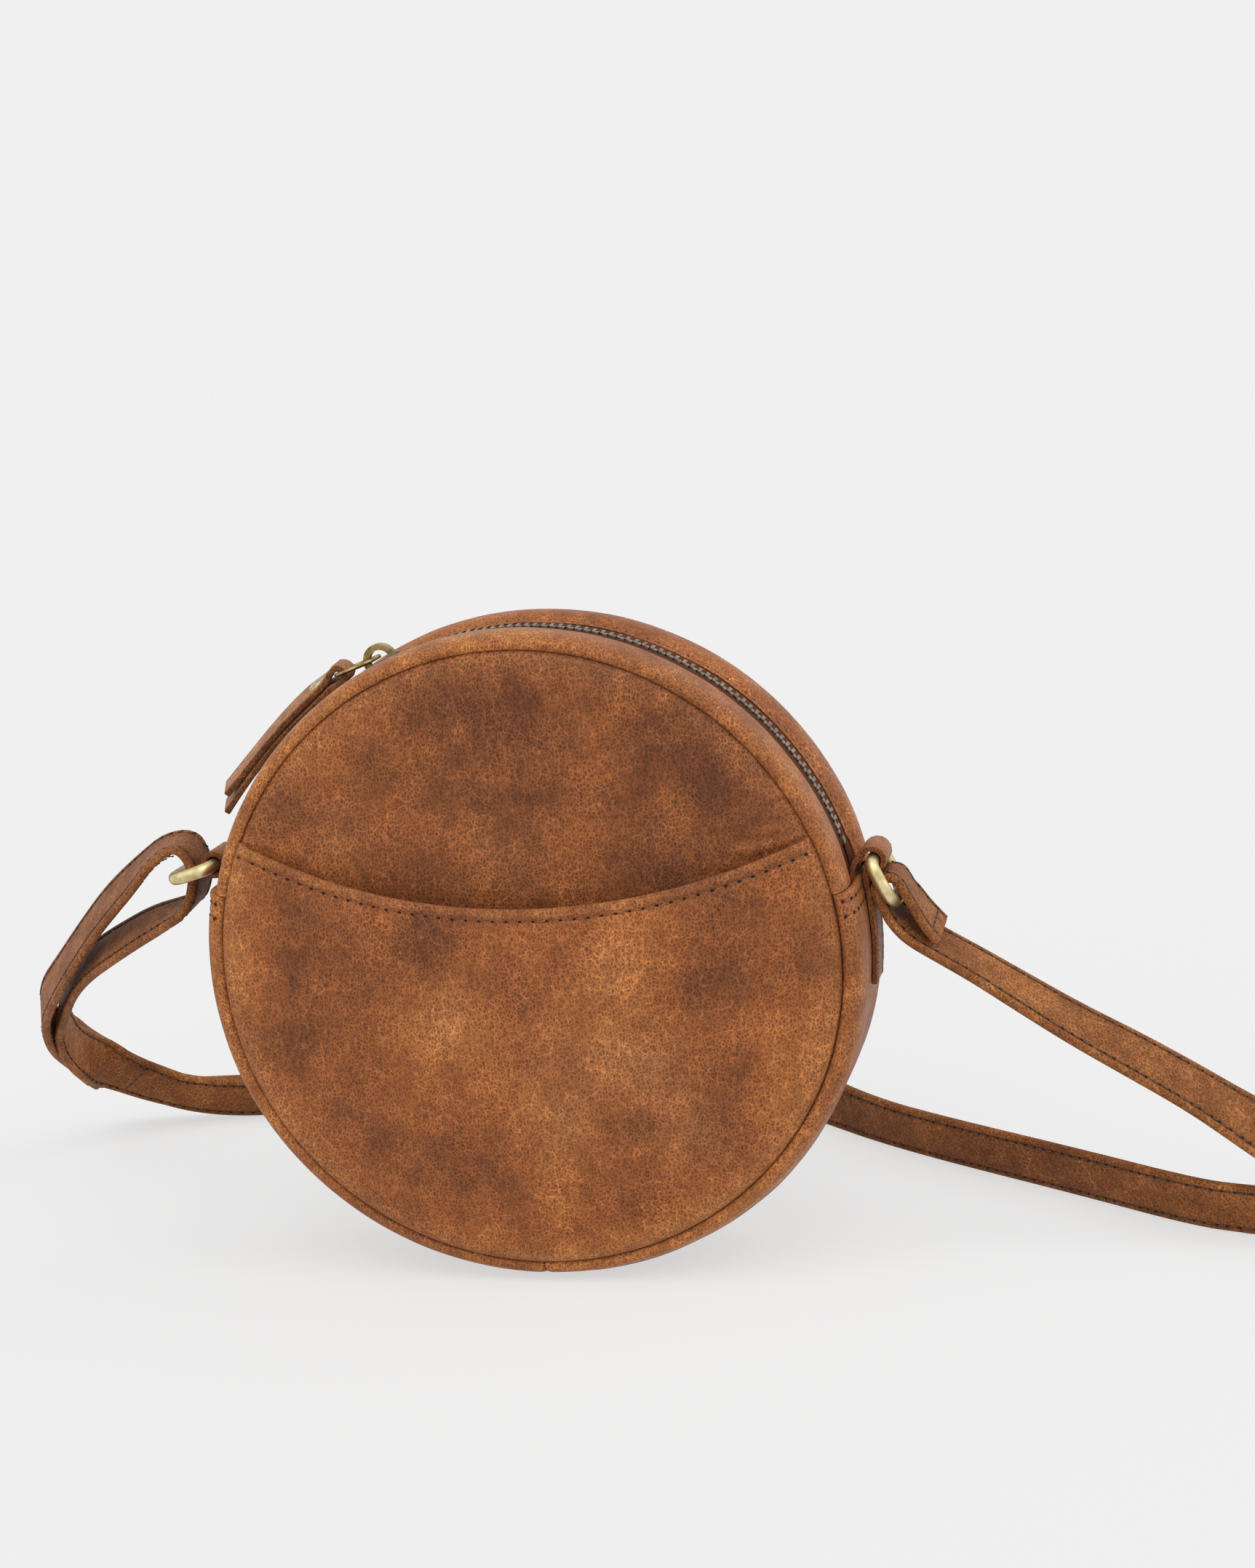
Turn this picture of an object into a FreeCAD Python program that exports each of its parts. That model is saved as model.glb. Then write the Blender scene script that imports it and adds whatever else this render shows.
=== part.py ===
"""Round leather crossbody bag: drum body, curved zip, slip pocket, ring tabs and adjustable strap.

Millimetres, +Z up, front towards -Y. The origin is the middle of the flat that the bag sits on.
"""
import FreeCAD, Part
import math
import os

V = FreeCAD.Vector

# Driving dimensions of the body
body_radius = 101.0
roll_rise = 6.2
seam_spacing = 50.0
sit_flat = 0.9
leather = 1.6
seam_gap = 0.15
layer_gap = 0.2
seam_allowance = 5.5
roll_width = 7.0
front_crown = 4.0
back_crown = 6.0
pocket_crown = 11.5
mouth_radius = 217.0
mouth_rise = 19.8
overrun = 20.0

# Gusset layout, in degrees from the right-hand side, and its widths
lap_angle = 12.5
lap_clearance_angle = 0.15
lap_under_angle = 6.5
lip_start_angle = 17.0
zip_window = 11.6

# Lining
lining_thickness = 0.6
lining_rim = 5.6
lining_gap = 0.8
lining_slit = 17.0
lining_slit_angle = 17.0

# Zip tape, teeth and stops
tape_thickness = 0.6
tape_width = 13.0
tape_end_angle = 8.5
tooth_pitch = 2.6
tooth_width = 1.1
tooth_height = 2.0
tooth_tip_height = 1.4
tooth_reach = 0.9
tooth_root = 2.9
tooth_clasp = 1.25
tooth_slot = 0.7
tooth_seat_gap = 0.05
first_tooth_angle = 20.4
last_tooth_angle = 157.0
row_parting = 1.4
stop_length = 2.2
stop_angle_step = 1.7

# Zip slider, bridge, link and leather pull
slider_angle = 117.6
slider_length = 10.4
slider_tail_width = 7.5
slider_shoulder_width = 10.5
slider_wall = 0.6
slider_plate = 0.95
slider_running_gap = 0.25
slider_nose = 0.9
slider_neck = 0.5
slider_shoulder = 2.0
post_width = 0.7
post_length = 2.6
ramp_start = 1.0
ramp_length = 5.0
bridge_length = 10.4
bridge_height = 5.4
bridge_width = 2.6
bridge_thickness = 1.9
link_wire = 1.3
link_side_gap = 0.35
link_length = 11.8
link_corner = 1.6
link_tilt = 7.0
link_seat_x = 1.4
link_seat_lift = 1.5
pull_width = 10.0
pull_leaf = 2.0
pull_eye = 1.1
pull_bend = 150.0
pull_upper = 50.0
pull_lower = 54.0
rivet_place = 8.0
rivet_shank = 2.4
rivet_cap = 6.0
rivet_dome = 0.9
rivet_fit = 0.05

# Ring tabs and D-rings
tab_angle = 14.6
tab_width = 15.0
tab_eye = 2.7
tab_tail_angle = -6.5
tab_root_angle = 5.0
tab_stem_angles = (13.0, 14.6)
ring_wire = 4.0
ring_inner_width = 20.0
ring_inner_length = 9.6
ring_bar_corner = 3.0
ring_bow_corner = 7.0
ring_slack = 0.4
ring_right_dip = 63.0
ring_left_dip = 17.5

# Strap and adjuster
strap_width = 18.0
strap_thickness = 3.0
fold_clearance = 0.3
fold_place = 10.0
strap_arc_share = 0.45
fold_steps = 8
adjuster_wire = 3.0
adjuster_length = 16.0
adjuster_corner = 2.0
adjuster_slot = 19.0
adjuster_leg = 2.0
adjuster_bar_drop = 10.8
strap_axis_y = 146.0
strap_axis_z = 12.6
loop_tail = 28.0

# Values that follow from the dimensions above
seam_radius = body_radius - roll_rise
centre_z = body_radius - sit_flat
mouth_height = centre_z + mouth_rise
half_spacing = seam_spacing / 2
lining_depth = seam_spacing - 2 * (leather + lining_gap)
zip_radius = body_radius - leather - layer_gap
zip_inner = zip_radius - leather
tape_top = zip_inner - seam_gap
tooth_middle = tape_top - tape_thickness / 2
tab_seat = body_radius + seam_gap
eye_outer = tab_eye + leather
eye_radius = tab_seat + eye_outer
slider_roof = tooth_middle + tooth_height / 2 + slider_running_gap
slider_floor = tooth_middle - tooth_height / 2 - slider_running_gap
slider_top = slider_roof + slider_plate
slider_bottom = slider_floor - slider_plate
link_width = pull_width + link_wire + 2 * link_side_gap


def at(radius, angle, y=0.0):
    """Point at a radius and angle about the bag's own axis."""
    turn = math.radians(angle)
    return V(radius * math.cos(turn), y, centre_z + radius * math.sin(turn))


def loop(points):
    """Closed straight-sided wire."""
    return Part.makePolygon(list(points) + [points[0]])


def turn_about_axis(shape, angle):
    """Turn a shape anticlockwise, seen from the front, about the bag's axis."""
    shape.rotate(V(0, 0, centre_z), V(0, -1, 0), angle)
    return shape


def mirror_back(shape):
    return shape.mirror(V(0, 0, 0), V(0, 1, 0))


def mirror_left(shape):
    return shape.mirror(V(0, 0, 0), V(1, 0, 0))


def spin(face, start, end):
    """Sweep a section, drawn on the right-hand side, round the bag from one angle to another."""
    solid = face.revolve(V(0, 0, centre_z), V(0, -1, 0), end - start)
    return turn_about_axis(solid, start)


def sector(inner, outer, low_y, high_y, start, end):
    """Curved strap of rectangular section round the bag's axis."""
    corners = [V(inner, low_y, centre_z), V(outer, low_y, centre_z)]
    corners += [V(outer, high_y, centre_z), V(inner, high_y, centre_z)]
    return spin(Part.Face(loop(corners)), start, end)


def arc(first, middle, last):
    return Part.Arc(first, middle, last).toShape()


def export(shape, node):
    shape.exportStep("parts/" + node + ".step")
    print(node, "solids", len(shape.Solids), "valid", shape.isValid(), "volume", round(shape.Volume, 1))


# Body: panels
def dome_section(rim, crown, thickness):
    """Half section of a domed disc: outer curve from the rim to the axis, inner curve back."""
    flat = half_spacing
    sphere = (rim ** 2 + crown ** 2) / (2 * crown)
    middle = rim / 2
    rise = math.sqrt(sphere ** 2 - middle ** 2) - (sphere - crown)
    outer = arc(V(rim, -flat, centre_z), V(middle, -flat - rise, centre_z), V(0, -flat - crown, centre_z))
    inner = outer.copy()
    inner.translate(V(0, thickness, 0))
    return outer, inner


def domed_panel(crown):
    """Leather disc with a shallow crown and a turned-in seam allowance, for the front."""
    rim = seam_radius
    outer, inner = dome_section(rim, crown, leather)
    cap_edges = [outer, Part.makeLine(V(0, -half_spacing - crown, centre_z),
                                      V(0, -half_spacing - crown + leather, centre_z))]
    cap_edges += [inner, Part.makeLine(V(rim, -half_spacing + leather, centre_z), V(rim, -half_spacing, centre_z))]
    cap = spin(Part.Face(Part.Wire(Part.__sortEdges__(cap_edges))), 0, 360)
    flange = sector(rim - leather, rim, -half_spacing + leather / 2, -half_spacing + seam_allowance, 0, 360)
    return cap.fuse(flange).removeSplitter()


def pocket_panel():
    """Slip pocket panel: a fuller dome over the front panel, cut hollow along its mouth."""
    rim = seam_radius
    outer, inner = dome_section(rim, pocket_crown, leather)
    edges = [outer, Part.makeLine(V(0, -half_spacing - pocket_crown, centre_z),
                                  V(0, -half_spacing - pocket_crown + leather, centre_z))]
    edges += [inner, Part.makeLine(V(rim, -half_spacing + leather, centre_z), V(rim, -half_spacing, centre_z))]
    cap = spin(Part.Face(Part.Wire(Part.__sortEdges__(edges))), 0, 360)
    cap.translate(V(0, -leather - seam_gap, 0))
    deep = pocket_crown + leather + overrun
    mouth = Part.makeCylinder(mouth_radius, deep, V(0, -half_spacing, mouth_height + mouth_radius), V(0, -1, 0))
    return cap.cut(mouth)


# Body: gusset
def gusset_half(crown, lip, start, end):
    """Front half of a gusset: seam allowance, rounded roll beside the seam, then flat to the lip."""
    seam = seam_radius + seam_gap
    rise = crown - seam
    roll = (rise ** 2 + roll_width ** 2) / (2 * rise)
    axis_r = crown - roll
    axis_y = -half_spacing + roll_width
    flange = seam + leather
    inner_roll = roll - leather
    sweep = math.atan2(-roll_width, seam - axis_r)
    tuck = -math.acos((flange - axis_r) / inner_roll)

    def on_roll(radius, turn):
        return V(axis_r + radius * math.cos(turn), axis_y + radius * math.sin(turn), centre_z)

    flange_end = -half_spacing + seam_allowance
    outline = [arc(on_roll(roll, sweep), on_roll(roll, sweep / 2), on_roll(roll, 0))]
    corners = [on_roll(roll, 0), V(crown, lip, centre_z), V(crown - leather, lip, centre_z),
               on_roll(inner_roll, 0)]
    outline += Part.makePolygon(corners).Edges
    outline += [arc(on_roll(inner_roll, 0), on_roll(inner_roll, tuck / 2), on_roll(inner_roll, tuck))]
    corners = [on_roll(inner_roll, tuck), V(flange, flange_end, centre_z), V(seam, flange_end, centre_z),
               on_roll(roll, sweep)]
    outline += Part.makePolygon(corners).Edges
    return spin(Part.Face(Part.Wire(outline)), start, end)


def lower_gusset_right():
    half = gusset_half(body_radius, 0, -90, lap_angle)
    whole = half.fuse(mirror_back(half)).removeSplitter()
    below = Part.makeBox(4 * body_radius, 4 * body_radius, overrun,
                         V(-2 * body_radius, -2 * body_radius, -overrun))
    return whole.cut(below)


def zip_gusset_front():
    """Leather strip in front of the zip; its ends lie under the lower gusset, clear of the ring tabs."""
    start = lap_angle + lap_clearance_angle
    strip = gusset_half(zip_radius, -zip_window / 2, start, 180 - start)
    tab_half = tab_width / 2 + 2 * layer_gap
    for low, high in ((lap_under_angle, lip_start_angle), (180 - lip_start_angle, 180 - lap_under_angle)):
        strip = strip.cut(sector(zip_inner - leather, zip_radius + leather, -tab_half, 0, low, high))
    tongue_edge = -half_spacing + roll_width
    for low, high in ((lap_under_angle, start), (180 - start, 180 - lap_under_angle)):
        strip = strip.fuse(sector(zip_inner, zip_radius, tongue_edge, -tab_half, low, high))
    return strip.removeSplitter()


# Lining
def lining_front():
    outer = seam_radius - leather - layer_gap
    face_y = -lining_depth / 2
    disc = sector(0, outer, face_y, face_y + lining_thickness, 0, 360)
    rim = sector(outer - lining_thickness, outer, face_y, face_y + lining_rim, 0, 360)
    return disc.fuse(rim).removeSplitter()


def lining_gusset():
    outer = seam_radius - leather - 2 * layer_gap - lining_thickness
    half = lining_depth / 2 - lining_thickness - layer_gap
    band = sector(outer - lining_thickness, outer, -half, half, 0, 360)
    slit = sector(outer - 2 * leather, outer + leather, -lining_slit / 2, lining_slit / 2,
                  lining_slit_angle, 180 - lining_slit_angle)
    return band.cut(slit)


# Zip
def parting(angle):
    """How far each row of teeth stands off the middle line at an angle round the zip."""
    along = math.radians(angle - slider_angle) * tooth_middle
    share = min(max((along + ramp_start) / ramp_length, 0), 1)
    return row_parting * share * share * (3 - 2 * share)


def zip_tape_front():
    edge = tooth_root - tooth_clasp + tooth_seat_gap
    closed = sector(tape_top - tape_thickness, tape_top, -tape_width, -edge - row_parting,
                    tape_end_angle, 180 - tape_end_angle)
    ramp_end = slider_angle - math.degrees(ramp_start / tooth_middle)
    meshed = sector(tape_top - tape_thickness, tape_top, -edge - row_parting, -edge, tape_end_angle, ramp_end)
    return closed.fuse(meshed).removeSplitter()


def tooth_blank():
    """One tooth of the front row at the top of the bag: tapered head, and a clasp round the tape's edge."""
    tip, full, slot = tooth_tip_height / 2, tooth_height / 2, tooth_slot / 2
    mouth = -tooth_root + tooth_clasp
    profile = [(tooth_reach, tip), (mouth, full), (-tooth_root, full), (-tooth_root, slot), (mouth, slot)]
    profile += [(y, -z) for y, z in reversed(profile)]
    level = centre_z + tooth_middle
    face = Part.Face(loop([V(-tooth_width / 2, y, level + z) for y, z in profile]))
    return face.extrude(V(tooth_width, 0, 0))


def tooth_row(front):
    """Every tooth of one row; the back row is staggered by half a pitch."""
    step = math.degrees(tooth_pitch / tooth_middle)
    blank = tooth_blank()
    teeth = []
    angle = first_tooth_angle if front else first_tooth_angle + step / 2
    while angle < last_tooth_angle:
        tooth = blank.copy()
        tooth.translate(V(0, -parting(angle), 0))
        if not front:
            tooth = mirror_back(tooth)
        teeth.append(turn_about_axis(tooth, angle - 90))
        angle += step
    return Part.makeCompound(teeth)


def stop_block(low_y, high_y, angle):
    length = math.degrees(stop_length / tooth_middle)
    half = tooth_height / 2 + slider_running_gap / 2
    return sector(tooth_middle - half, tooth_middle + half, low_y, high_y, angle - length / 2, angle + length / 2)


def bottom_stop():
    half = tooth_root - tooth_clasp
    return stop_block(-half, half, first_tooth_angle - stop_angle_step)


def top_stops():
    edge = tooth_root - tooth_clasp + row_parting
    front = stop_block(-edge, -edge + stop_length, last_tooth_angle + stop_angle_step)
    return Part.makeCompound([front, mirror_back(front)])


# Slider, modelled at the top of the bag with its nose to the left
def slider_outline(inset, level):
    """Plan of the slider, narrow at the tail and broad at the shoulder."""
    tail = slider_tail_width / 2 - inset
    shoulder = slider_shoulder_width / 2 - inset
    half = slider_length / 2
    side = [V(half, tail, level), V(slider_neck, tail, level), V(-slider_shoulder, shoulder, level),
            V(-half, shoulder, level)]
    other = [V(p.x, -p.y, level) for p in reversed(side)]
    edges = Part.makePolygon(side).Edges
    edges += [arc(side[-1], V(-half - slider_nose, 0, level), other[0])]
    edges += Part.makePolygon(other + [side[0]]).Edges
    return Part.Face(Part.Wire(edges))


def slider_shell():
    """Upper half of the slider: a plate with side walls that reach down to the tape."""
    skirt = tape_top + slider_running_gap
    body = slider_outline(0, centre_z + skirt).extrude(V(0, 0, slider_top - skirt))
    hollow = slider_outline(slider_wall, centre_z + skirt).extrude(V(0, 0, slider_roof - skirt))
    ends = Part.makeBox(2 * slider_length, slider_tail_width - 2 * slider_wall, slider_roof - skirt,
                        V(0, -slider_tail_width / 2 + slider_wall, centre_z + skirt))
    nose = Part.makeBox(slider_length, slider_shoulder_width - 2 * slider_wall, slider_roof - skirt,
                        V(-slider_length - slider_shoulder, -slider_shoulder_width / 2 + slider_wall,
                          centre_z + skirt))
    return body.cut(hollow.fuse([ends, nose]))


def slider_body():
    upper = slider_shell()
    lower = upper.mirror(V(0, 0, centre_z + tooth_middle), V(0, 0, 1))
    front = -slider_length / 2
    half = post_width / 2
    plan = [V(front + post_length, 0, 0), V(front + post_length / 2, half, 0), V(front, half, 0),
            V(front, -half, 0), V(front + post_length / 2, -half, 0)]
    post = Part.Face(loop(plan)).extrude(V(0, 0, slider_roof - slider_floor))
    post.translate(V(0, 0, centre_z + slider_floor))
    return upper.fuse([lower, post]).removeSplitter()


def slider_bridge():
    """Arched bridge on the slider's roof that the link is threaded through."""
    base = centre_z + slider_top
    half = bridge_length / 2
    outer = arc(V(half, 0, base), V(0, 0, base + bridge_height), V(-half, 0, base))
    inner_half = half - bridge_thickness
    inner = arc(V(inner_half, 0, base), V(0, 0, base + bridge_height - bridge_thickness), V(-inner_half, 0, base))
    feet = [Part.makeLine(V(half, 0, base), V(inner_half, 0, base))]
    feet += [Part.makeLine(V(-half, 0, base), V(-inner_half, 0, base))]
    face = Part.Face(Part.Wire(Part.__sortEdges__([outer, inner] + feet)))
    arch = face.extrude(V(0, bridge_width, 0))
    arch.translate(V(0, -bridge_width / 2, 0))
    return arch


def wire_loop(half_width, length, near_corner, far_corner, wire, origin, along):
    """Closed ring of round wire: a bar along Y at the origin, arms along a direction, and a rounded bow."""
    def spot(y, d):
        return origin + V(0, y, 0) + along * d

    def corner(y, d, radius, start):
        turns = [math.radians(start + step) for step in (0, 45, 90)]
        return arc(*[spot(y + radius * math.sin(t), d - radius * math.cos(t)) for t in turns])

    near, far = half_width - near_corner, half_width - far_corner
    path = [Part.makeLine(spot(-near, 0), spot(near, 0)), corner(near, near_corner, near_corner, 0)]
    path += [Part.makeLine(spot(half_width, near_corner), spot(half_width, length - far_corner))]
    path += [corner(far, length - far_corner, far_corner, 90), Part.makeLine(spot(far, length), spot(-far, length))]
    path += [corner(-far, length - far_corner, far_corner, 180)]
    path += [Part.makeLine(spot(-half_width, length - far_corner), spot(-half_width, near_corner))]
    path += [corner(-near, near_corner, near_corner, 270)]
    rim = Part.Wire(Part.makeCircle(wire / 2, spot(-near, 0), V(0, 1, 0)))
    return Part.Wire(path).makePipeShell([rim], True, False)


link_seat = V(-link_seat_x, 0, centre_z + slider_top + link_seat_lift)
link_along = V(-math.cos(math.radians(link_tilt)), 0, math.sin(math.radians(link_tilt)))
pull_seat = link_seat + link_along * link_length


def puller_link():
    return wire_loop(link_width / 2, link_length, link_corner, link_corner, link_wire, link_seat, link_along)


def pull_frame():
    """Centre that the pull's leaves curve round, and the angle of its eye seen from there."""
    inward = V(0, 0, centre_z) - pull_seat
    inward.normalize()
    centre = pull_seat + inward * pull_bend
    return centre, math.degrees(math.atan2(-inward.z, -inward.x))


def leaf(inner, outer, start, end):
    """Curved leather leaf about the pull's own centre."""
    centre, eye_angle = pull_frame()
    corners = [V(inner, -pull_width / 2, 0), V(outer, -pull_width / 2, 0)]
    corners += [V(outer, pull_width / 2, 0), V(inner, pull_width / 2, 0)]
    first = math.degrees(start / pull_bend)
    solid = Part.Face(loop(corners)).revolve(V(0, 0, 0), V(0, -1, 0), math.degrees((end - start) / pull_bend))
    solid.rotate(V(0, 0, 0), V(0, -1, 0), eye_angle + first)
    solid.translate(centre)
    return solid


def pull_spot(along, lift):
    """Point on the pull at a length from its eye and a height over its middle."""
    centre, eye_angle = pull_frame()
    turn = math.radians(eye_angle) + along / pull_bend
    outward = V(math.cos(turn), 0, math.sin(turn))
    return centre + outward * (pull_bend + lift), outward


def pull_tab():
    """Leather strip folded round the link, both leaves laid together and riveted."""
    eye_rim = pull_eye + pull_leaf
    side = V(0, pull_width, 0)
    foot = pull_seat - side * 0.5
    eye = Part.makeCylinder(eye_rim, pull_width, foot, side)
    eye = eye.cut(Part.makeCylinder(pull_eye, pull_width, foot, side))
    slit = layer_gap / 2
    upper = leaf(pull_bend + slit, pull_bend + slit + pull_leaf, eye_rim - layer_gap, pull_upper)
    lower = leaf(pull_bend - slit - pull_leaf, pull_bend - slit, eye_rim - layer_gap, pull_lower)
    spot, outward = pull_spot(rivet_place, -2 * pull_leaf)
    hole = Part.makeCylinder(rivet_shank / 2 + rivet_fit, 4 * pull_leaf, spot, outward)
    return eye.fuse([upper, lower]).cut(hole).removeSplitter()


def pull_tab_rivet():
    reach = pull_leaf + layer_gap / 2 + rivet_fit
    foot, outward = pull_spot(rivet_place, -reach)
    rivet = Part.makeCylinder(rivet_shank / 2, 2 * reach, foot, outward)
    for end, way in ((reach, 1), (-reach, -1)):
        seat, outward = pull_spot(rivet_place, end)
        cap = Part.makeCone(rivet_cap / 2, rivet_shank / 2, rivet_dome, seat, outward * way)
        rivet = rivet.fuse(cap)
    return rivet.removeSplitter()


# Ring tabs and rings
def ring_tab_right():
    """Leather strip rooted under the lower gusset, curled round the ring and sewn down outside."""
    half = tab_width / 2
    root = sector(zip_inner, zip_radius, -half, half, tab_root_angle, tab_stem_angles[1])
    stem = sector(zip_inner, tab_seat + leather, -half, half, *tab_stem_angles)
    tail = sector(tab_seat, tab_seat + leather, -half, half, tab_tail_angle, tab_angle)
    foot = at(eye_radius, tab_angle, -half)
    eye = Part.makeCylinder(eye_outer, tab_width, foot, V(0, 1, 0))
    bore = Part.makeCylinder(tab_eye, tab_width, foot, V(0, 1, 0))
    return root.fuse([stem, tail, eye]).cut(bore).removeSplitter()


ring_half_width = (ring_inner_width + ring_wire) / 2
ring_length = ring_inner_length + ring_wire


def ring_frame(angle, heading):
    """Middle of a ring's bar, pulled to the far side of its eye, and the way the ring points."""
    turn = math.radians(heading)
    along = V(math.cos(turn), 0, math.sin(turn))
    return at(eye_radius, angle) + along * ring_slack, along


def d_ring(angle, heading):
    bar, along = ring_frame(angle, heading)
    return wire_loop(ring_half_width, ring_length, ring_bar_corner, ring_bow_corner, ring_wire, bar, along)


right_bar, right_along = ring_frame(tab_angle, -ring_right_dip)
left_bar, left_along = ring_frame(180 - tab_angle, 180 + ring_left_dip)

# Strap route: point, and a hint of the way its upper or back edge faces
edge_back = (0, 1, 0)
edge_up = (0, 0, 1)
edge_fore = (0, -0.35, 0.94)
edge_lean = (0, -0.5, 0.86)
right_tail = [
    ((120.9, 2.6, 103.6), (0, 1, 0.25)), ((117.0, 1.8, 109.0), (0, 1, 0.2)),
    ((113.9, 0.8, 114.4), (0, 1, 0.1)),
]
right_run = [
    ((106.4, 0.2, 109.6), edge_back), ((111.4, 1.2, 104.6), (0, 1, 0.05)),
    ((119.4, 2.9, 98.9), (0, 1, 0.12)), ((129.9, 5.4, 92.0), (0, 0.97, 0.24)),
    ((141.8, 8.5, 83.4), (0, 0.94, 0.34)), ((159.5, 11.5, 71.3), (0, 0.9, 0.44)),
    ((176.1, 14.5, 61.1), (0, 0.84, 0.54)), ((193.5, 17.2, 50.0), (0, 0.78, 0.62)),
    ((208.4, 17.6, 40.0), (0, 0.7, 0.7)), ((224.0, 14.6, 31.4), (0, 0.5, 0.86)),
    ((242.0, 8.6, 22.6), (0, 0.25, 0.97)), ((262.0, 1.0, 14.6), edge_up), ((283.0, -2.5, 9.6), edge_up),
    ((298.0, 7.0, 9.1), edge_up), ((288.0, 19.0, 9.1), edge_up), ((262.0, 16.6, 9.1), edge_up),
]
back_run = [
    ((236.0, 18.0, 9.1), (0, -0.2, 0.98)), ((208.0, 25.4, 9.1), edge_fore), ((191.6, 32.0, 9.1), edge_fore),
    ((155.0, 59.0, 9.1), edge_fore), ((110.5, 89.8, 9.1), edge_fore), ((86.0, 109.0, 9.1), edge_fore),
    ((64.0, 131.5, 9.4), (0, -0.1, 1)), ((40.0, 146.0, 12.2), edge_up),
]
left_outer = [
    ((-44.0, 146.0, 12.6), edge_up), ((-66.0, 145.6, 11.2), edge_up), ((-92.0, 144.0, 9.6), (0, -0.1, 1)),
    ((-117.0, 141.0, 8.9), edge_fore), ((-136.5, 137.6, 8.8), edge_lean), ((-153.0, 133.4, 9.0), edge_lean),
    ((-168.0, 128.2, 10.4), edge_lean), ((-180.0, 122.0, 15.0), (0, -0.4, 0.9)),
    ((-190.4, 114.0, 20.8), (0.1, -0.2, 1)), ((-197.0, 104.4, 26.8), (0.1, 0, 1)),
    ((-199.4, 92.4, 33.6), (0.1, 0.2, 1)), ((-197.4, 77.6, 43.2), (0.1, 0.35, 0.93)),
    ((-192.4, 62.0, 54.8), (0, 0.5, 0.86)), ((-184.8, 47.8, 66.6), (0, 0.6, 0.8)),
    ((-175.0, 36.8, 78.8), (0, 0.65, 0.76)), ((-163.0, 27.7, 92.9), (0, 0.68, 0.73)),
    ((-152.4, 20.6, 104.1), (0, 0.72, 0.7)), ((-143.6, 15.2, 112.2), (0, 0.76, 0.65)),
    ((-133.4, 9.4, 120.8), (0, 0.84, 0.54)), ((-125.2, 4.8, 128.0), (0, 0.94, 0.34)),
    ((-117.0, 2.0, 131.7), (0, 1, 0.15)), ((-111.0, 0.4, 130.4), edge_back),
]
left_inner = [
    ((-109.8, 0.0, 117.4), edge_back), ((-113.8, 1.2, 111.4), (0, 1, 0.1)),
    ((-122.0, 5.6, 107.6), (0, 0.95, 0.3)), ((-133.3, 11.5, 102.5), (0, 0.88, 0.47)),
    ((-145.0, 19.0, 95.8), (0, 0.85, 0.53)), ((-160.3, 30.3, 86.4), (0, 0.8, 0.6)),
    ((-170.5, 39.8, 77.6), (0, 0.74, 0.67)), ((-180.0, 52.2, 66.4), (0, 0.62, 0.78)),
    ((-187.2, 64.0, 56.2), (0, 0.5, 0.86)), ((-192.6, 78.0, 45.6), (0.1, 0.35, 0.93)),
    ((-194.6, 92.0, 36.0), (0.1, 0.2, 1)), ((-192.4, 103.0, 28.8), (0.1, 0, 1)),
]
inner_tail = [
    ((-186.5, 111.0, 22.4), (0.1, -0.2, 1)), ((-177.5, 118.0, 15.8), (0, -0.4, 0.9)),
    ((-166.0, 123.6, 11.0), edge_lean), ((-150.0, 129.0, 8.8), edge_lean),
    ((-134.0, 133.0, 8.6), edge_lean), ((-115.5, 136.2, 8.8), edge_fore),
    ((-91.0, 139.0, 9.6), (0, -0.1, 1)), ((-64.0, 140.4, 11.4), edge_up), ((-44.0, 140.6, 12.6), edge_up),
    ((-28.2, 140.6, 12.6), edge_up),
]


def blend(first, second, share):
    return tuple(a + (b - a) * share for a, b in zip(first, second))


def rounded(route, name):
    """Stations along straight runs and tangent arcs: three on each arc, and the two ends."""
    points = [V(*place) for place, hint in route]
    stations = [(points[0], points[1] - points[0], route[0][1])]
    radii = []
    for index in range(1, len(points) - 1):
        before, here, after = points[index - 1:index + 2]
        into, out = here - before, after - here
        hint = route[index][1]
        hint_in = blend(hint, route[index - 1][1], strap_arc_share)
        hint_out = blend(hint, route[index + 1][1], strap_arc_share)
        reach = strap_arc_share * min(into.Length, out.Length)
        into.normalize()
        out.normalize()
        half_turn = into.getAngle(out) / 2
        radius = reach / math.tan(half_turn)
        bisector = out - into
        bisector.normalize()
        crest = here + bisector * (radius / math.cos(half_turn) - radius)
        stations += [(here - into * reach, into, hint_in), (crest, into + out, hint)]
        stations += [(here + out * reach, out, hint_out)]
        radii.append(round(radius, 1))
    stations.append((points[-1], points[-1] - points[-2], route[-1][1]))
    print(name, "bend radii", radii)
    return stations


def strap(stations):
    """Flat strap of rectangular section through stations of point, heading and edge hint."""
    frames = []
    for place, heading, hint in stations:
        heading = V(heading)
        heading.normalize()
        across = V(*hint)
        across = across - heading * across.dot(heading)
        across.normalize()
        normal = heading.cross(across)
        frames.append((place, across * (strap_width / 2), normal * (strap_thickness / 2)))
    sections = []
    for place, across, normal in frames:
        corners = [place - across - normal, place + across - normal, place + across + normal,
                   place - across + normal]
        sections.append(loop(corners))
    return Part.makeLoft(sections, True, True)


def fold(centre, radius, start, end, steps):
    """Stations round a fold in the plane of the bag's front, headed clockwise or back again."""
    stations = []
    way = 1 if end > start else -1
    for step in range(steps + 1):
        turn = math.radians(start + (end - start) * step / steps)
        place = centre + V(math.cos(turn), 0, math.sin(turn)) * radius
        stations.append((place, V(-math.sin(turn), 0, math.cos(turn)) * way, edge_back))
    return stations


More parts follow.
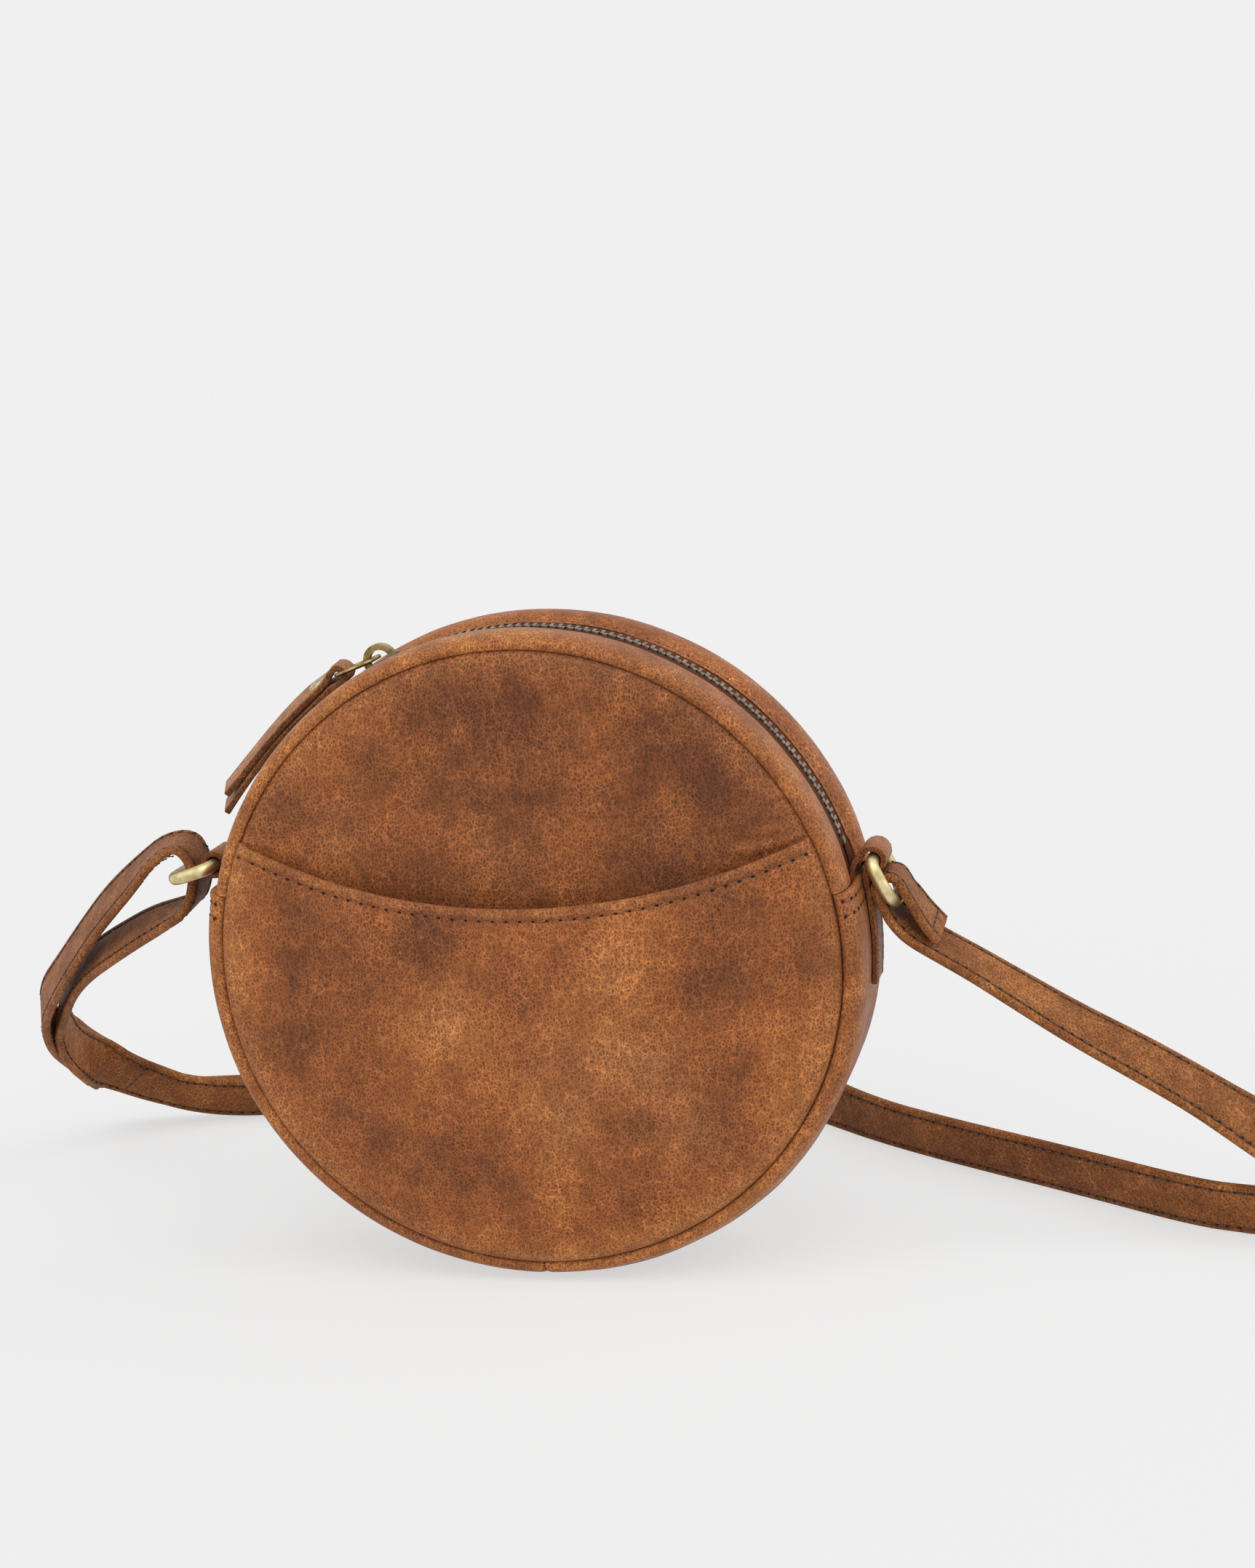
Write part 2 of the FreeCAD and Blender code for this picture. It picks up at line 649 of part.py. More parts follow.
def strap_pieces():
    """The whole strap as one route from the right ring to the adjuster, cut where its pieces meet."""
    middle = ring_wire / 2 + fold_clearance + strap_thickness / 2
    centre = right_bar + right_along * fold_place
    bend = fold(centre, middle, 90 - ring_right_dip, 270 - ring_right_dip, fold_steps)
    entry, leave = bend[0][0], bend[-1][0]
    ring_pass = left_bar + left_along * (ring_length / 2)
    tail = rounded(right_tail + [(tuple(entry), edge_back)], "sewn tail")
    parts = [[(tuple(leave), edge_back)] + right_run, back_run, left_outer,
             [(tuple(ring_pass), edge_back)] + left_inner, inner_tail]
    names = ["strap_right", "strap_back", "strap_left_outer", "strap_left_inner", "strap_inner_tail"]
    run = rounded(sum(parts, []), "strap")
    pieces = {}
    first = 0
    count = 0
    for name, part in zip(names, parts):
        count += len(part)
        last = 3 * count - 1 if name != names[-1] else len(run) - 1
        pieces[name] = run[first:last + 1]
        first = last
    pieces["strap_right"] = tail[:-1] + bend + pieces["strap_right"][1:]
    return {name: strap(stations) for name, stations in pieces.items()}


def strap_adjuster():
    """Cast slide: an open frame outside the strap and a bar raised to the inner side by two legs."""
    frame_y = strap_axis_y + strap_thickness / 2 + fold_clearance + adjuster_wire / 2
    half = adjuster_slot / 2 + adjuster_wire / 2
    middle = V(0, 0, 0)
    turned = wire_loop(half, adjuster_length, adjuster_corner, adjuster_corner, adjuster_wire, middle, V(1, 0, 0))
    turned.rotate(middle, V(1, 0, 0), 90)
    turned.translate(V(-adjuster_length / 2, frame_y, strap_axis_z))
    bar_y = frame_y - adjuster_bar_drop
    leg = adjuster_leg
    for side in (-half, half):
        foot = V(-leg / 2, bar_y - leg / 2, strap_axis_z + side - leg / 2)
        turned = turned.fuse(Part.makeBox(leg, adjuster_bar_drop + leg / 2, leg, foot))
    reach = half + adjuster_wire / 2
    bar = Part.makeCylinder(adjuster_wire / 2, 2 * reach, V(0, bar_y, strap_axis_z - reach), V(0, 0, 1))
    return turned.fuse(bar)


def strap_end_loop():
    """End of the strap folded round the adjuster's bar and sewn to itself."""
    bar_y = strap_axis_y + strap_thickness / 2 + fold_clearance + adjuster_wire / 2 - adjuster_bar_drop
    inner = adjuster_wire / 2 + fold_clearance
    outer = inner + strap_thickness
    low = strap_axis_z - strap_width / 2
    up = V(0, 0, 1)
    eye = Part.makeCylinder(outer, strap_width, V(0, bar_y, low), up)
    tails = Part.makeBox(loop_tail, 2 * strap_thickness + layer_gap, strap_width,
                         V(-loop_tail, bar_y - strap_thickness - layer_gap / 2, low))
    slit = Part.makeBox(loop_tail, layer_gap, strap_width, V(-loop_tail, bar_y - layer_gap / 2, low))
    bore = Part.makeCylinder(inner, strap_width, V(0, bar_y, low), up)
    return eye.fuse(tails).cut(slit.fuse(bore))


os.makedirs("parts", exist_ok=True)

front = domed_panel(front_crown)
export(front, "front_panel")
export(pocket_panel(), "front_pocket_panel")
export(mirror_back(domed_panel(back_crown)), "back_panel")

lower = lower_gusset_right()
export(lower, "lower_gusset_right")
export(mirror_left(lower), "lower_gusset_left")
strip = zip_gusset_front()
export(strip, "zip_gusset_front")
export(mirror_back(strip), "zip_gusset_back")

lining = lining_front()
export(lining, "lining_front")
export(mirror_back(lining), "lining_back")
export(lining_gusset(), "lining_gusset")

tape = zip_tape_front()
export(tape, "zipper_tape_front")
export(mirror_back(tape), "zipper_tape_back")
export(tooth_row(True), "zipper_teeth_front")
export(tooth_row(False), "zipper_teeth_back")
export(bottom_stop(), "zipper_bottom_stop")
export(top_stops(), "zipper_top_stops")

slider_turn = slider_angle - 90
for node, make in (("zip_slider_body", slider_body), ("slider_bridge", slider_bridge),
                   ("puller_link", puller_link), ("pull_tab", pull_tab), ("pull_tab_rivet", pull_tab_rivet)):
    export(turn_about_axis(make(), slider_turn), node)

tab = ring_tab_right()
export(tab, "ring_tab_right")
export(mirror_left(tab), "ring_tab_left")
export(d_ring(tab_angle, -ring_right_dip), "d_ring_right")
export(d_ring(180 - tab_angle, 180 + ring_left_dip), "d_ring_left")

for node, shape in strap_pieces().items():
    export(shape, node)
export(strap_adjuster(), "strap_adjuster")
export(strap_end_loop(), "strap_end_loop")

for name, joint in (("link seat", link_seat), ("pull seat", pull_seat)):
    print(name, turn_about_axis(Part.Vertex(joint), slider_turn).Point)
print("ring bars", right_bar, left_bar)
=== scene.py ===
# %% [markdown]
# # A round crossbody bag in waxed leather
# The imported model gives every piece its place, its size and the body that it moves with. This lesson
# dresses it: leather shells, a folded strap, stitching, a metal zip and soft studio light.

# %% Load the frame
import math

import bpy
from mathutils import Matrix, Vector, noise


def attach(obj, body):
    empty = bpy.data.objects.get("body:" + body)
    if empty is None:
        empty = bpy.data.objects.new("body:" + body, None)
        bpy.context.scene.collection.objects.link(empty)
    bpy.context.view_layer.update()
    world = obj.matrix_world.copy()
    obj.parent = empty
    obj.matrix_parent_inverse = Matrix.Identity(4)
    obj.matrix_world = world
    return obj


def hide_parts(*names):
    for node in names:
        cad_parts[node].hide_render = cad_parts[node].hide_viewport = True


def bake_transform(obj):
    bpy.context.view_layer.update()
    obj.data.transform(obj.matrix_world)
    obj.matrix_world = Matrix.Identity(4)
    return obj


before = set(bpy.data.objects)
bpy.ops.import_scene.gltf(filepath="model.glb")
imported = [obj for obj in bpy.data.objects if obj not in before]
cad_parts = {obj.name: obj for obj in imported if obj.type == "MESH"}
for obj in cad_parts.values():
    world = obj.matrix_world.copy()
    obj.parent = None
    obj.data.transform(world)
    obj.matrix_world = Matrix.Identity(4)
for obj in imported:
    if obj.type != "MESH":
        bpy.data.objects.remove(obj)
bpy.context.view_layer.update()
MM = 0.001

# %% [markdown]
# ## Camera
# The photograph was taken from slightly above and to the right, with a long lens. The camera's place
# was worked out from the circle of the front seam, the zip and the two rings. A small roll of the
# camera stands for the way the bag leans in the picture.

# %% Camera
aim = Vector((28.17, 0.08, 149.05)) * MM
azimuth, elevation, roll = (math.radians(a) for a in (12.3, 11.2, -3.15))
distance = 918 * MM
photo_width = 1725
focal_pixels = 4200


def deselect():
    """Operators act on what is selected, so everything is let go before a new piece."""
    bpy.ops.object.select_all(action="DESELECT")


def direction(turn, rise):
    """Direction to a camera or lamp, turned from the front to the right and raised."""
    return Vector((math.sin(turn) * math.cos(rise), -math.cos(turn) * math.cos(rise), math.sin(rise)))


def set_at(place, x, y, z):
    """Matrix that puts a thing at a place with its own axes along these directions."""
    return Matrix.Translation(place) @ Matrix((x, y, z)).transposed().to_4x4()


backward = direction(azimuth, elevation)
level = Vector((math.cos(azimuth), math.sin(azimuth), 0))
upright = backward.cross(level)
right = level * math.cos(roll) + upright * math.sin(roll)
upward = upright * math.cos(roll) - level * math.sin(roll)

deselect()
bpy.ops.object.camera_add()
camera = bpy.context.object
camera.matrix_world = set_at(aim + backward * distance, right, upward, backward)
camera.data.sensor_fit = "HORIZONTAL"
camera.data.sensor_width = 36
camera.data.lens = camera.data.sensor_width * focal_pixels / photo_width
bpy.context.scene.camera = camera
print("lens", round(camera.data.lens, 1), "mm at", tuple(round(v, 3) for v in camera.location))

# %% [markdown]
# ## Colours and nodes
# Colours are written as they look on a screen, as hex values, and turned to linear light once, here.
# One helper adds a node, sets its inputs and links it. A node given as an input stands for its first
# output, and an input without a name of its own is counted: i0, i1 and so on.

# %% Colour and node helpers
def hex_colour(text):
    """Linear RGBA of an sRGB hex colour."""
    def linear(c):
        return c / 12.92 if c <= 0.04045 else ((c + 0.055) / 1.055) ** 2.4
    return [linear(int(text[i:i + 2], 16) / 255) for i in (1, 3, 5)] + [1]


def wire(tree, node, **inputs):
    """Set a node's inputs to values, or link them from sockets or nodes."""
    for key, value in inputs.items():
        counted = key[0] == "i" and key[1:].isdigit()
        socket = node.inputs[int(key[1:]) if counted else key.replace("_", " ")]
        if isinstance(value, bpy.types.Node):
            value = value.outputs[0]
        if isinstance(value, bpy.types.NodeSocket):
            tree.links.new(value, socket)
        else:
            socket.default_value = value


def add(tree, kind, settings=None, stops=(), **inputs):
    """Add a node with its own settings, the stops of its colour ramp and its inputs."""
    node = tree.nodes.new("ShaderNode" + kind)
    for key, value in (settings or {}).items():
        setattr(node, key, value)
    while stops and len(node.color_ramp.elements) < len(stops):
        node.color_ramp.elements.new(0.5)
    for i, (place, colour) in enumerate(stops):
        node.color_ramp.elements[i].position = place
        node.color_ramp.elements[i].color = hex_colour(colour)
    wire(tree, node, **inputs)
    return node


def new_material(name):
    """A material, its node tree and its shader."""
    material = bpy.data.materials.new(name)
    material.use_nodes = True
    return material, material.node_tree, material.node_tree.nodes["Principled BSDF"]


def set_material(obj, *materials):
    """Give a piece these materials and no others."""
    obj.data.materials.clear()
    for material in materials:
        obj.data.materials.append(material)


print("middle grey", [round(c, 3) for c in hex_colour("#808080")])

# %% [markdown]
# ## Waxed pull-up leather
# The hide is waxed and oiled, so it is darker where it lies flat and paler where it is bent or rubbed.
# Close up it is a net of fine pale creases round grain cells about a millimetre across, over cloudy
# dark patches the size of a thumb. Noises give the patches, the mottling and the upright streaks, and
# cells give the net. Each piece brings its own stains and rubbed places as attributes, and one more of
# painted shade for its creases and furrows, which also darkens the burnished edges of tabs and pull.

# %% Leather
multiply, multiply_add = {"operation": "MULTIPLY"}, {"operation": "MULTIPLY_ADD"}
cell_edges = {"feature": "DISTANCE_TO_EDGE"}
lift = {"data_type": "RGBA", "blend_type": "MULTIPLY"}
rubbed_crease, rubbed_wax = (2.2, 2.3, 2.3, 1), (1.25, 1.8, 2.6, 1)


def waxed_leather(name, dark, middle, pale, patch_mm, shine=0.22):
    """Waxed hide: patches, streaks, a net of pale creases, pores, painted shade in creases, dark edges and a
    polish.
    """
    material, tree, shader = new_material(name)
    here = add(tree, "TexCoord").outputs["Object"]
    stain, rubbed, crease_shade_and_edge = (add(tree, "Attribute", {"attribute_name": mark}).outputs["Fac"]
                             for mark in ("stain", "rub", "crease_shade_and_edge"))
    # Patches, a mottling of 7 mm and upright streaks set the tone of the wax
    patches = add(tree, "TexNoise", Vector=here, Scale=1000 / patch_mm, Detail=3.0, Roughness=0.55,
                  Distortion=0.4)
    cloud = add(tree, "TexNoise", Vector=here, Scale=1000 / 7, Detail=5.0, Roughness=0.65)
    calm = add(tree, "Math", multiply_add, i0=patches, i1=0.5, i2=0.2)
    mottled = add(tree, "Math", multiply_add, i0=cloud, i1=0.42, i2=calm)
    hair = add(tree, "VectorMath", multiply, i0=here, i1=(1, 1, 0.2))
    streak = add(tree, "TexNoise", Vector=hair, Scale=1000 / 0.8, Detail=2.0)
    streaked = add(tree, "Math", multiply_add, i0=streak, i1=0.34, i2=mottled)
    tone = add(tree, "Math", multiply_add, i0=stain, i1=-0.27, i2=streaked)
    base = add(tree, "ValToRGB", stops=[(0.52, dark), (0.8, middle), (1.0, pale)], Fac=tone)
    # Grain cells just under a millimetre wide and longer than that, with paler creases between them
    wander = add(tree, "TexNoise", Vector=here, Scale=1000 / 2.5, Detail=2.0).outputs["Color"]
    bent = add(tree, "VectorMath", multiply_add, i0=wander, i1=(0.0014,) * 3, i2=here)
    long_cells = add(tree, "VectorMath", multiply, i0=bent, i1=(1, 1, 0.7))
    cells = add(tree, "TexVoronoi", cell_edges, Vector=long_cells, Scale=1000 / 0.95)
    net = add(tree, "MapRange", Value=cells, From_Min=0.02, From_Max=0.2, To_Min=1.0, To_Max=0.0)
    fleck = add(tree, "TexNoise", Vector=here, Scale=1000 / 11, Detail=3.0)
    shown = add(tree, "MapRange", Value=fleck, From_Min=0.3, From_Max=0.7, To_Min=0.45, To_Max=1.0)
    net_share = add(tree, "Math", multiply, i0=net, i1=shown)
    creased = add(tree, "Mix", lift, i0=net_share, i6=base, i7=rubbed_crease).outputs[2]
    # A wider net of folds, three to four millimetres apart, shows here and there
    wide = add(tree, "TexVoronoi", cell_edges, Vector=bent, Scale=1000 / 3.6)
    folds = add(tree, "MapRange", Value=wide, From_Min=0.0, From_Max=0.07, To_Min=0.6, To_Max=0.0)
    fold_share = add(tree, "Math", multiply, i0=folds, i1=fleck)
    folded = add(tree, "Mix", lift, i0=fold_share, i6=creased, i7=rubbed_crease).outputs[2]
    bright = add(tree, "Mix", lift, i0=rubbed, i6=folded, i7=rubbed_wax).outputs[2]
    # Stretched leather on the rolls shows its pores as dark dots, painted shade darkens creases and furrows,
    # and burnished edges are dark
    dots = add(tree, "TexVoronoi", Vector=bent, Scale=1000 / 1.5)
    pores = add(tree, "MapRange", Value=dots, From_Min=0.1, From_Max=0.24, To_Min=0.7, To_Max=0.0)
    open_pores = add(tree, "Math", multiply, i0=pores, i1=rubbed)
    dotted = add(tree, "Mix", {"data_type": "RGBA"}, i0=open_pores, i6=bright, i7=hex_colour(dark)).outputs[2]
    shaded_and_edged = add(tree, "Mix", lift, i0=crease_shade_and_edge, i6=dotted, i7=hex_colour("#6a4a3a")).outputs[2]
    # The cells and hairs stand up a little, and the wax shines unevenly
    grain = add(tree, "MapRange", Value=cells, From_Min=0.0, From_Max=0.35)
    fine = add(tree, "TexNoise", Vector=hair, Scale=1000 / 0.5, Detail=2.0)
    height = add(tree, "Math", multiply_add, i0=fine, i1=0.6, i2=grain)
    bump = add(tree, "Bump", Strength=0.5, Distance=0.00016, Height=height)
    polish = add(tree, "MapRange", Value=cloud, From_Min=0.3, From_Max=0.7, To_Min=0.58, To_Max=0.42)
    wire(tree, shader, Base_Color=shaded_and_edged, Normal=bump, Roughness=polish, IOR=1.45, Specular_IOR_Level=shine,
         Sheen_Weight=shine / 8, Sheen_Roughness=0.45)
    return material


body_leather = waxed_leather("body_hide", "#532d18", "#7a4523", "#935a2d", 42)
strap_leather = waxed_leather("strap_hide", "#46291a", "#6b4023", "#86552f", 30, 0.1)
print("leathers", body_leather.name, strap_leather.name)

# %% [markdown]
# ## Modelling helpers
# Leather pieces start as a line of edges: one vertex is extruded from point to point, then the line is
# spun round the bag's axis or extruded to a width, as a pattern cutter would draw a section first.

# %% Drawing helpers
centre_z = 100.1
half_depth = 25.0
seam_radius = 94.8


def polar(radius, angle, y=0.0):
    """Point round the bag's axis, in millimetres, with the angle counted up from the right."""
    turn = math.radians(angle)
    return Vector((radius * math.cos(turn), y, centre_z + radius * math.sin(turn)))


def mode(name):
    bpy.ops.object.mode_set(mode=name)


def weld():
    """Select the whole mesh and merge its doubles."""
    bpy.ops.mesh.select_all(action="SELECT")
    bpy.ops.mesh.remove_doubles(threshold=0.01 * MM)


def draw_chain(name, points, closed=False):
    """Line of edges through points in millimetres, extruded vertex by vertex; left in edit mode."""
    deselect()
    bpy.ops.mesh.primitive_plane_add(size=MM)
    obj = bpy.context.object
    obj.name = name
    mode("EDIT")
    bpy.ops.mesh.merge(type="CENTER")
    bpy.ops.transform.translate(value=Vector(points[0]) * MM)
    for here, there in zip(points, points[1:]):
        step = (Vector(there) - Vector(here)) * MM
        bpy.ops.mesh.extrude_region_move(TRANSFORM_OT_translate={"value": step})
    bpy.ops.mesh.select_all(action="SELECT")
    if closed:
        bpy.ops.mesh.edge_face_add()
        bpy.ops.mesh.delete(type="ONLY_FACE")
        bpy.ops.mesh.select_all(action="SELECT")
    return obj


def smooth():
    """Smooth shading, with edges left sharp where the surface turns by more than 50 degrees."""
    bpy.ops.object.shade_smooth_by_angle(angle=math.radians(50))


def close_mesh(obj):
    """Merge doubles, turn the faces outwards, leave edit mode and smooth the shading."""
    weld()
    bpy.ops.mesh.normals_make_consistent(inside=False)
    mode("OBJECT")
    smooth()
    return obj


def spin_round(steps, start, end):
    """Spin what is selected round the bag's axis between two angles."""
    bpy.ops.mesh.spin(steps=steps, angle=math.radians(end - start), center=(0, 0, centre_z * MM),
                      axis=(0, 1, 0))


def spin_section(name, section, start, end, steps):
    """Closed section, drawn as radius and depth, swept between two angles."""
    obj = draw_chain(name, [polar(r, start, y) for r, y in section], closed=True)
    spin_round(steps, start, end)
    bpy.ops.mesh.select_all(action="DESELECT")
    bpy.ops.mesh.select_non_manifold(extend=False, use_wire=False, use_multi_face=False,
                                     use_non_contiguous=False, use_verts=False)
    bpy.ops.mesh.edge_face_add()
    return close_mesh(obj)


# %% Leather strips
def thicken(obj, thickness, offset=-1, even=False, bevel=0):
    """Give a sheet its thickness and, where asked, rounded edges."""
    wall = obj.modifiers.new("Wall", "SOLIDIFY")
    wall.thickness, wall.offset, wall.use_even_offset = thickness * MM, offset, even
    bpy.ops.object.modifier_apply(modifier=wall.name)
    if bevel:
        edge = obj.modifiers.new("Edges", "BEVEL")
        edge.width, edge.segments, edge.angle_limit = bevel * MM, 3, math.radians(60)
        bpy.ops.object.modifier_apply(modifier=edge.name)


def ribbon(name, path, width, thickness, bevel):
    """Strip of leather: a line of points, extruded by its width and thickened."""
    obj = draw_chain(name, path)
    bpy.ops.mesh.extrude_region_move(TRANSFORM_OT_translate={"value": Vector(width) * MM})
    weld()
    mode("OBJECT")
    thicken(obj, thickness, 0, True, bevel)
    mode("EDIT")
    return close_mesh(obj)


# %% Shaping, marks and bodies
def clamp(value):
    return min(max(value, 0), 1)


def sculpt(obj, *moves):
    """Move every vertex by functions of its place; both are in millimetres."""
    for move in moves:
        for vertex in obj.data.vertices:
            vertex.co += move(vertex.co / MM) * MM
    obj.data.update()


def paint(obj, name, value):
    """Store a number from 0 to 1 at every vertex, worked out from its place."""
    layer = obj.data.attributes.new(name, "FLOAT", "POINT")
    for vertex, item in zip(obj.data.vertices, layer.data):
        item.value = clamp(value(vertex.co / MM))


def dress(obj, body, node, slot, *materials):
    """A finished piece: its material, the node that it stands for, its record slot (not used) and its body.
    """
    if materials:
        set_material(obj, *materials)
    if node:
        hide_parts(node)
    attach(obj, body)
    print(obj.name, len(obj.data.polygons), "faces on", body)
    return obj


# %% [markdown]
# ## The strap
# The strap is one long leather strip, 18 mm wide and folded to 3 mm. Its end is sewn round the right
# ring; it runs down to the floor, turns back behind the bag, passes through the slide, comes up to the
# left ring, and returns doubled to the slide. Each piece follows a smooth spline through the route's
# points, and a twin spline along one edge tells which way the strip faces.

# %% Strap routes
strap_half = 9.0
edge_back, edge_up, edge_fore, edge_lean = (0, 1, 0), (0, 0, 1), (0, -0.35, 0.94), (0, -0.5, 0.86)
# Points of each piece in millimetres, and the direction from each to the strip's edge
strap_routes = {
    "strap_right": [
        ((120.5, 2.6, 102.9), (0, 1, 0.25)), ((116.3, 1.8, 108.1), (0, 1, 0.2)),
        ((113.7, 0.8, 112.8), (0, 1, 0.1)), ((112, 0, 115.5), edge_back), ((108.4, 0, 122.5), edge_back),
        ((101.6, 0, 119.1), edge_back), ((105.2, 0, 112.1), edge_back), ((106.4, 0.2, 109.6), (0, 1, 0.15)),
        ((111.4, 1.2, 104.6), (0, 1, 0.35)), ((119.4, 2.9, 98.9), (0, 1, 0.3)),
        ((129.9, 5.4, 92), (0, 0.95, 0.32)), ((141.8, 8.5, 83.4), (0, 0.92, 0.4)),
        ((159.5, 11.5, 71.3), (0, 0.87, 0.49)), ((176.1, 14.5, 61.1), (0, 0.81, 0.59)),
        ((193.5, 17.2, 50), (0, 0.78, 0.62)), ((208.4, 17.6, 40), (0, 0.7, 0.7)),
        ((224, 14.6, 31.4), (0, 0.5, 0.86)), ((242, 8.6, 22.6), (0, 0.25, 0.97)), ((262, 1, 14.6), edge_up),
        ((283, -2.5, 9.6), edge_up), ((298, 7, 9.1), edge_up), ((288, 19, 9.1), edge_up),
        ((262, 16.6, 9.1), edge_up), ((236, 18, 9.1), (0, -0.2, 0.98))],
    "strap_back": [
        ((236, 18, 9.1), (0, -0.2, 0.98)), ((208, 25.4, 9.1), edge_fore), ((191.6, 32, 9.1), edge_fore),
        ((155, 59, 9.1), edge_fore), ((110.5, 89.8, 9.1), edge_fore), ((86, 109, 9.1), edge_fore),
        ((64, 131.5, 9.4), (0, -0.1, 1)), ((40, 146, 12.2), edge_up), ((-44, 146, 12.6), edge_up)],
    "strap_left_outer": [
        ((-44, 146, 12.6), edge_up), ((-66, 145.6, 11.2), edge_up), ((-92, 144, 9.6), (0, -0.1, 1)),
        ((-117, 141, 8.9), edge_fore), ((-136.5, 137.6, 8.8), edge_lean), ((-153, 133.4, 9), edge_lean),
        ((-168, 128.2, 10.4), (0, -0.6, 0.8)), ((-180, 122, 16), (0, -0.66, 0.75)),
        ((-189.4, 114, 22.4), (0, -0.68, 0.73)), ((-191.6, 104.6, 28.6), (0, -0.62, 0.78)),
        ((-192.2, 92.8, 36.1), (0.05, -0.5, 0.86)), ((-191.4, 78.6, 44.8), (0.1, -0.1, 0.99)),
        ((-192, 62, 54.8), (-0.18, 0.33, 0.93)), ((-186.4, 47.8, 66.6), (-0.12, 0.5, 0.86)),
        ((-175.6, 36.8, 78.8), (-0.02, 0.63, 0.78)), ((-163, 27.7, 92.9), (0, 0.68, 0.73)),
        ((-152.4, 20.6, 104.1), (0, 0.72, 0.7)), ((-143.6, 15.2, 112.2), (0, 0.76, 0.65)),
        ((-133.4, 9.4, 120.8), (0, 0.84, 0.54)), ((-125.2, 4.8, 128), (0, 0.94, 0.34)),
        ((-117, 2, 131.7), (0, 1, 0.15)), ((-111, 0.4, 130.4), edge_back), ((-108.9, 0, 124.5), edge_back)],
    "strap_left_inner": [
        ((-108.9, 0, 124.5), edge_back), ((-109.8, 0, 117.4), edge_back), ((-113.8, 1.2, 111.4), (0, 1, 0.1)),
        ((-122, 5.6, 107.6), (0, 0.95, 0.3)), ((-133.3, 11.5, 102.5), (0, 0.88, 0.47)),
        ((-145, 19, 95.8), (0, 0.85, 0.53)), ((-160.3, 30.3, 86.4), (0, 0.8, 0.6)),
        ((-170.5, 39.8, 77.6), (0, 0.74, 0.67)), ((-180, 52.2, 66.4), (0, 0.62, 0.78)),
        ((-188.6, 64, 56.2), (0, 0.5, 0.86)), ((-189.4, 75.6, 43.4), (0, -0.55, 0.83)),
        ((-189.6, 89.6, 35.4), (0, -0.63, 0.78)), ((-188.2, 100.6, 29), (0, -0.63, 0.78)),
        ((-182.1, 108.3, 23.3), (0, -0.62, 0.78))],
    "strap_inner_tail": [
        ((-182.1, 108.3, 23.3), (0, -0.62, 0.78)), ((-176, 116, 17.6), (0, -0.6, 0.8)),
        ((-165, 122.2, 12.2), (0, -0.55, 0.83)), ((-150, 129, 8.8), edge_lean), ((-134, 133, 8.6), edge_lean),
        ((-115.5, 136.2, 8.8), edge_fore), ((-91, 139, 9.6), (0, -0.1, 1)), ((-64, 140.4, 11.4), edge_up),
        ((-44, 140.6, 12.6), edge_up), ((-28.2, 140.6, 12.6), edge_up)]}
print("route points", {name: len(route) for name, route in strap_routes.items()})

# %% Strap section and splines
# Section across the strip: thick rounded edges and a furrow under each row of stitches
furrow = 6.7
strap_section = [(0, 1.5), (3.0, 1.5), (5.4, 1.45), (6.2, 1.32), (furrow, 1.18), (7.1, 1.28), (7.7, 1.42),
                 (8.3, 1.28), (8.75, 0.85), (8.97, 0.4)]
strap_section += [(strap_half, 0.0)] + [(u, -v) for u, v in reversed(strap_section)]
strap_section += [(-u, v) for u, v in reversed(strap_section[1:-1])]


def spline_points(places):
    """Points read along a smooth spline with these control points."""
    curve = bpy.data.curves.new("route", "CURVE")
    curve.dimensions = "3D"
    curve.resolution_u = 12
    spline = curve.splines.new("NURBS")
    spline.points.add(len(places) - 1)
    for point, place in zip(spline.points, places):
        point.co = (*place, 1)
    spline.order_u = 3
    spline.use_endpoint_u = True
    holder = bpy.data.objects.new("route", curve)
    mesh = bpy.data.meshes.new_from_object(holder)
    points = [vertex.co.copy() for vertex in mesh.vertices]
    bpy.data.objects.remove(holder)
    bpy.data.curves.remove(curve)
    bpy.data.meshes.remove(mesh)
    return points


def strap_frames(route):
    """Place, heading, width direction and face direction along a route."""
    middle = spline_points([Vector(place) * MM for place, hint in route])
    edge = spline_points([(Vector(place) + Vector(hint).normalized() * strap_half) * MM
                          for place, hint in route])
    frames = []
    for i, place in enumerate(middle):
        heading = (middle[min(i + 1, len(middle) - 1)] - middle[max(i - 1, 0)]).normalized()
        across = edge[i] - place
        across = (across - heading * across.dot(heading)).normalized()
        frames.append((place, heading, across, heading.cross(across)))
    return frames


strap_lines = {name: strap_frames(route) for name, route in strap_routes.items()}
print("section of", len(strap_section), "points")


# %% Strap pieces
def sweep_strap(name, frames):
    """Mesh of the strip: the section repeated at every frame, with closed ends."""
    count = len(strap_section)
    points = [place + (across * u + face * v) * MM
              for place, _, across, face in frames for u, v in strap_section]
    quads = []
    for start in range(0, (len(frames) - 1) * count, count):
        for j in range(count):
            k = (j + 1) % count
            quads.append((start + j, start + k, start + count + k, start + count + j))
    caps = [tuple(range(count)), tuple(reversed(range(len(points) - count, len(points))))]
    mesh = bpy.data.meshes.new(name)
    mesh.from_pydata(points, [], quads + caps)
    obj = bpy.data.objects.new(name, mesh)
    bpy.context.collection.objects.link(obj)
    deselect()
    bpy.context.view_layer.objects.active = obj
    obj.select_set(True)
    mode("EDIT")
    close_mesh(obj)
    # Painted shade darkens the furrows under the stitches
    layer = mesh.attributes.new("crease_shade_and_edge", "FLOAT", "POINT")
    for i, item in enumerate(layer.data):
        item.value = 0.65 * max(0, 1 - abs(abs(strap_section[i % count][0]) - furrow) / 0.6)
    return obj
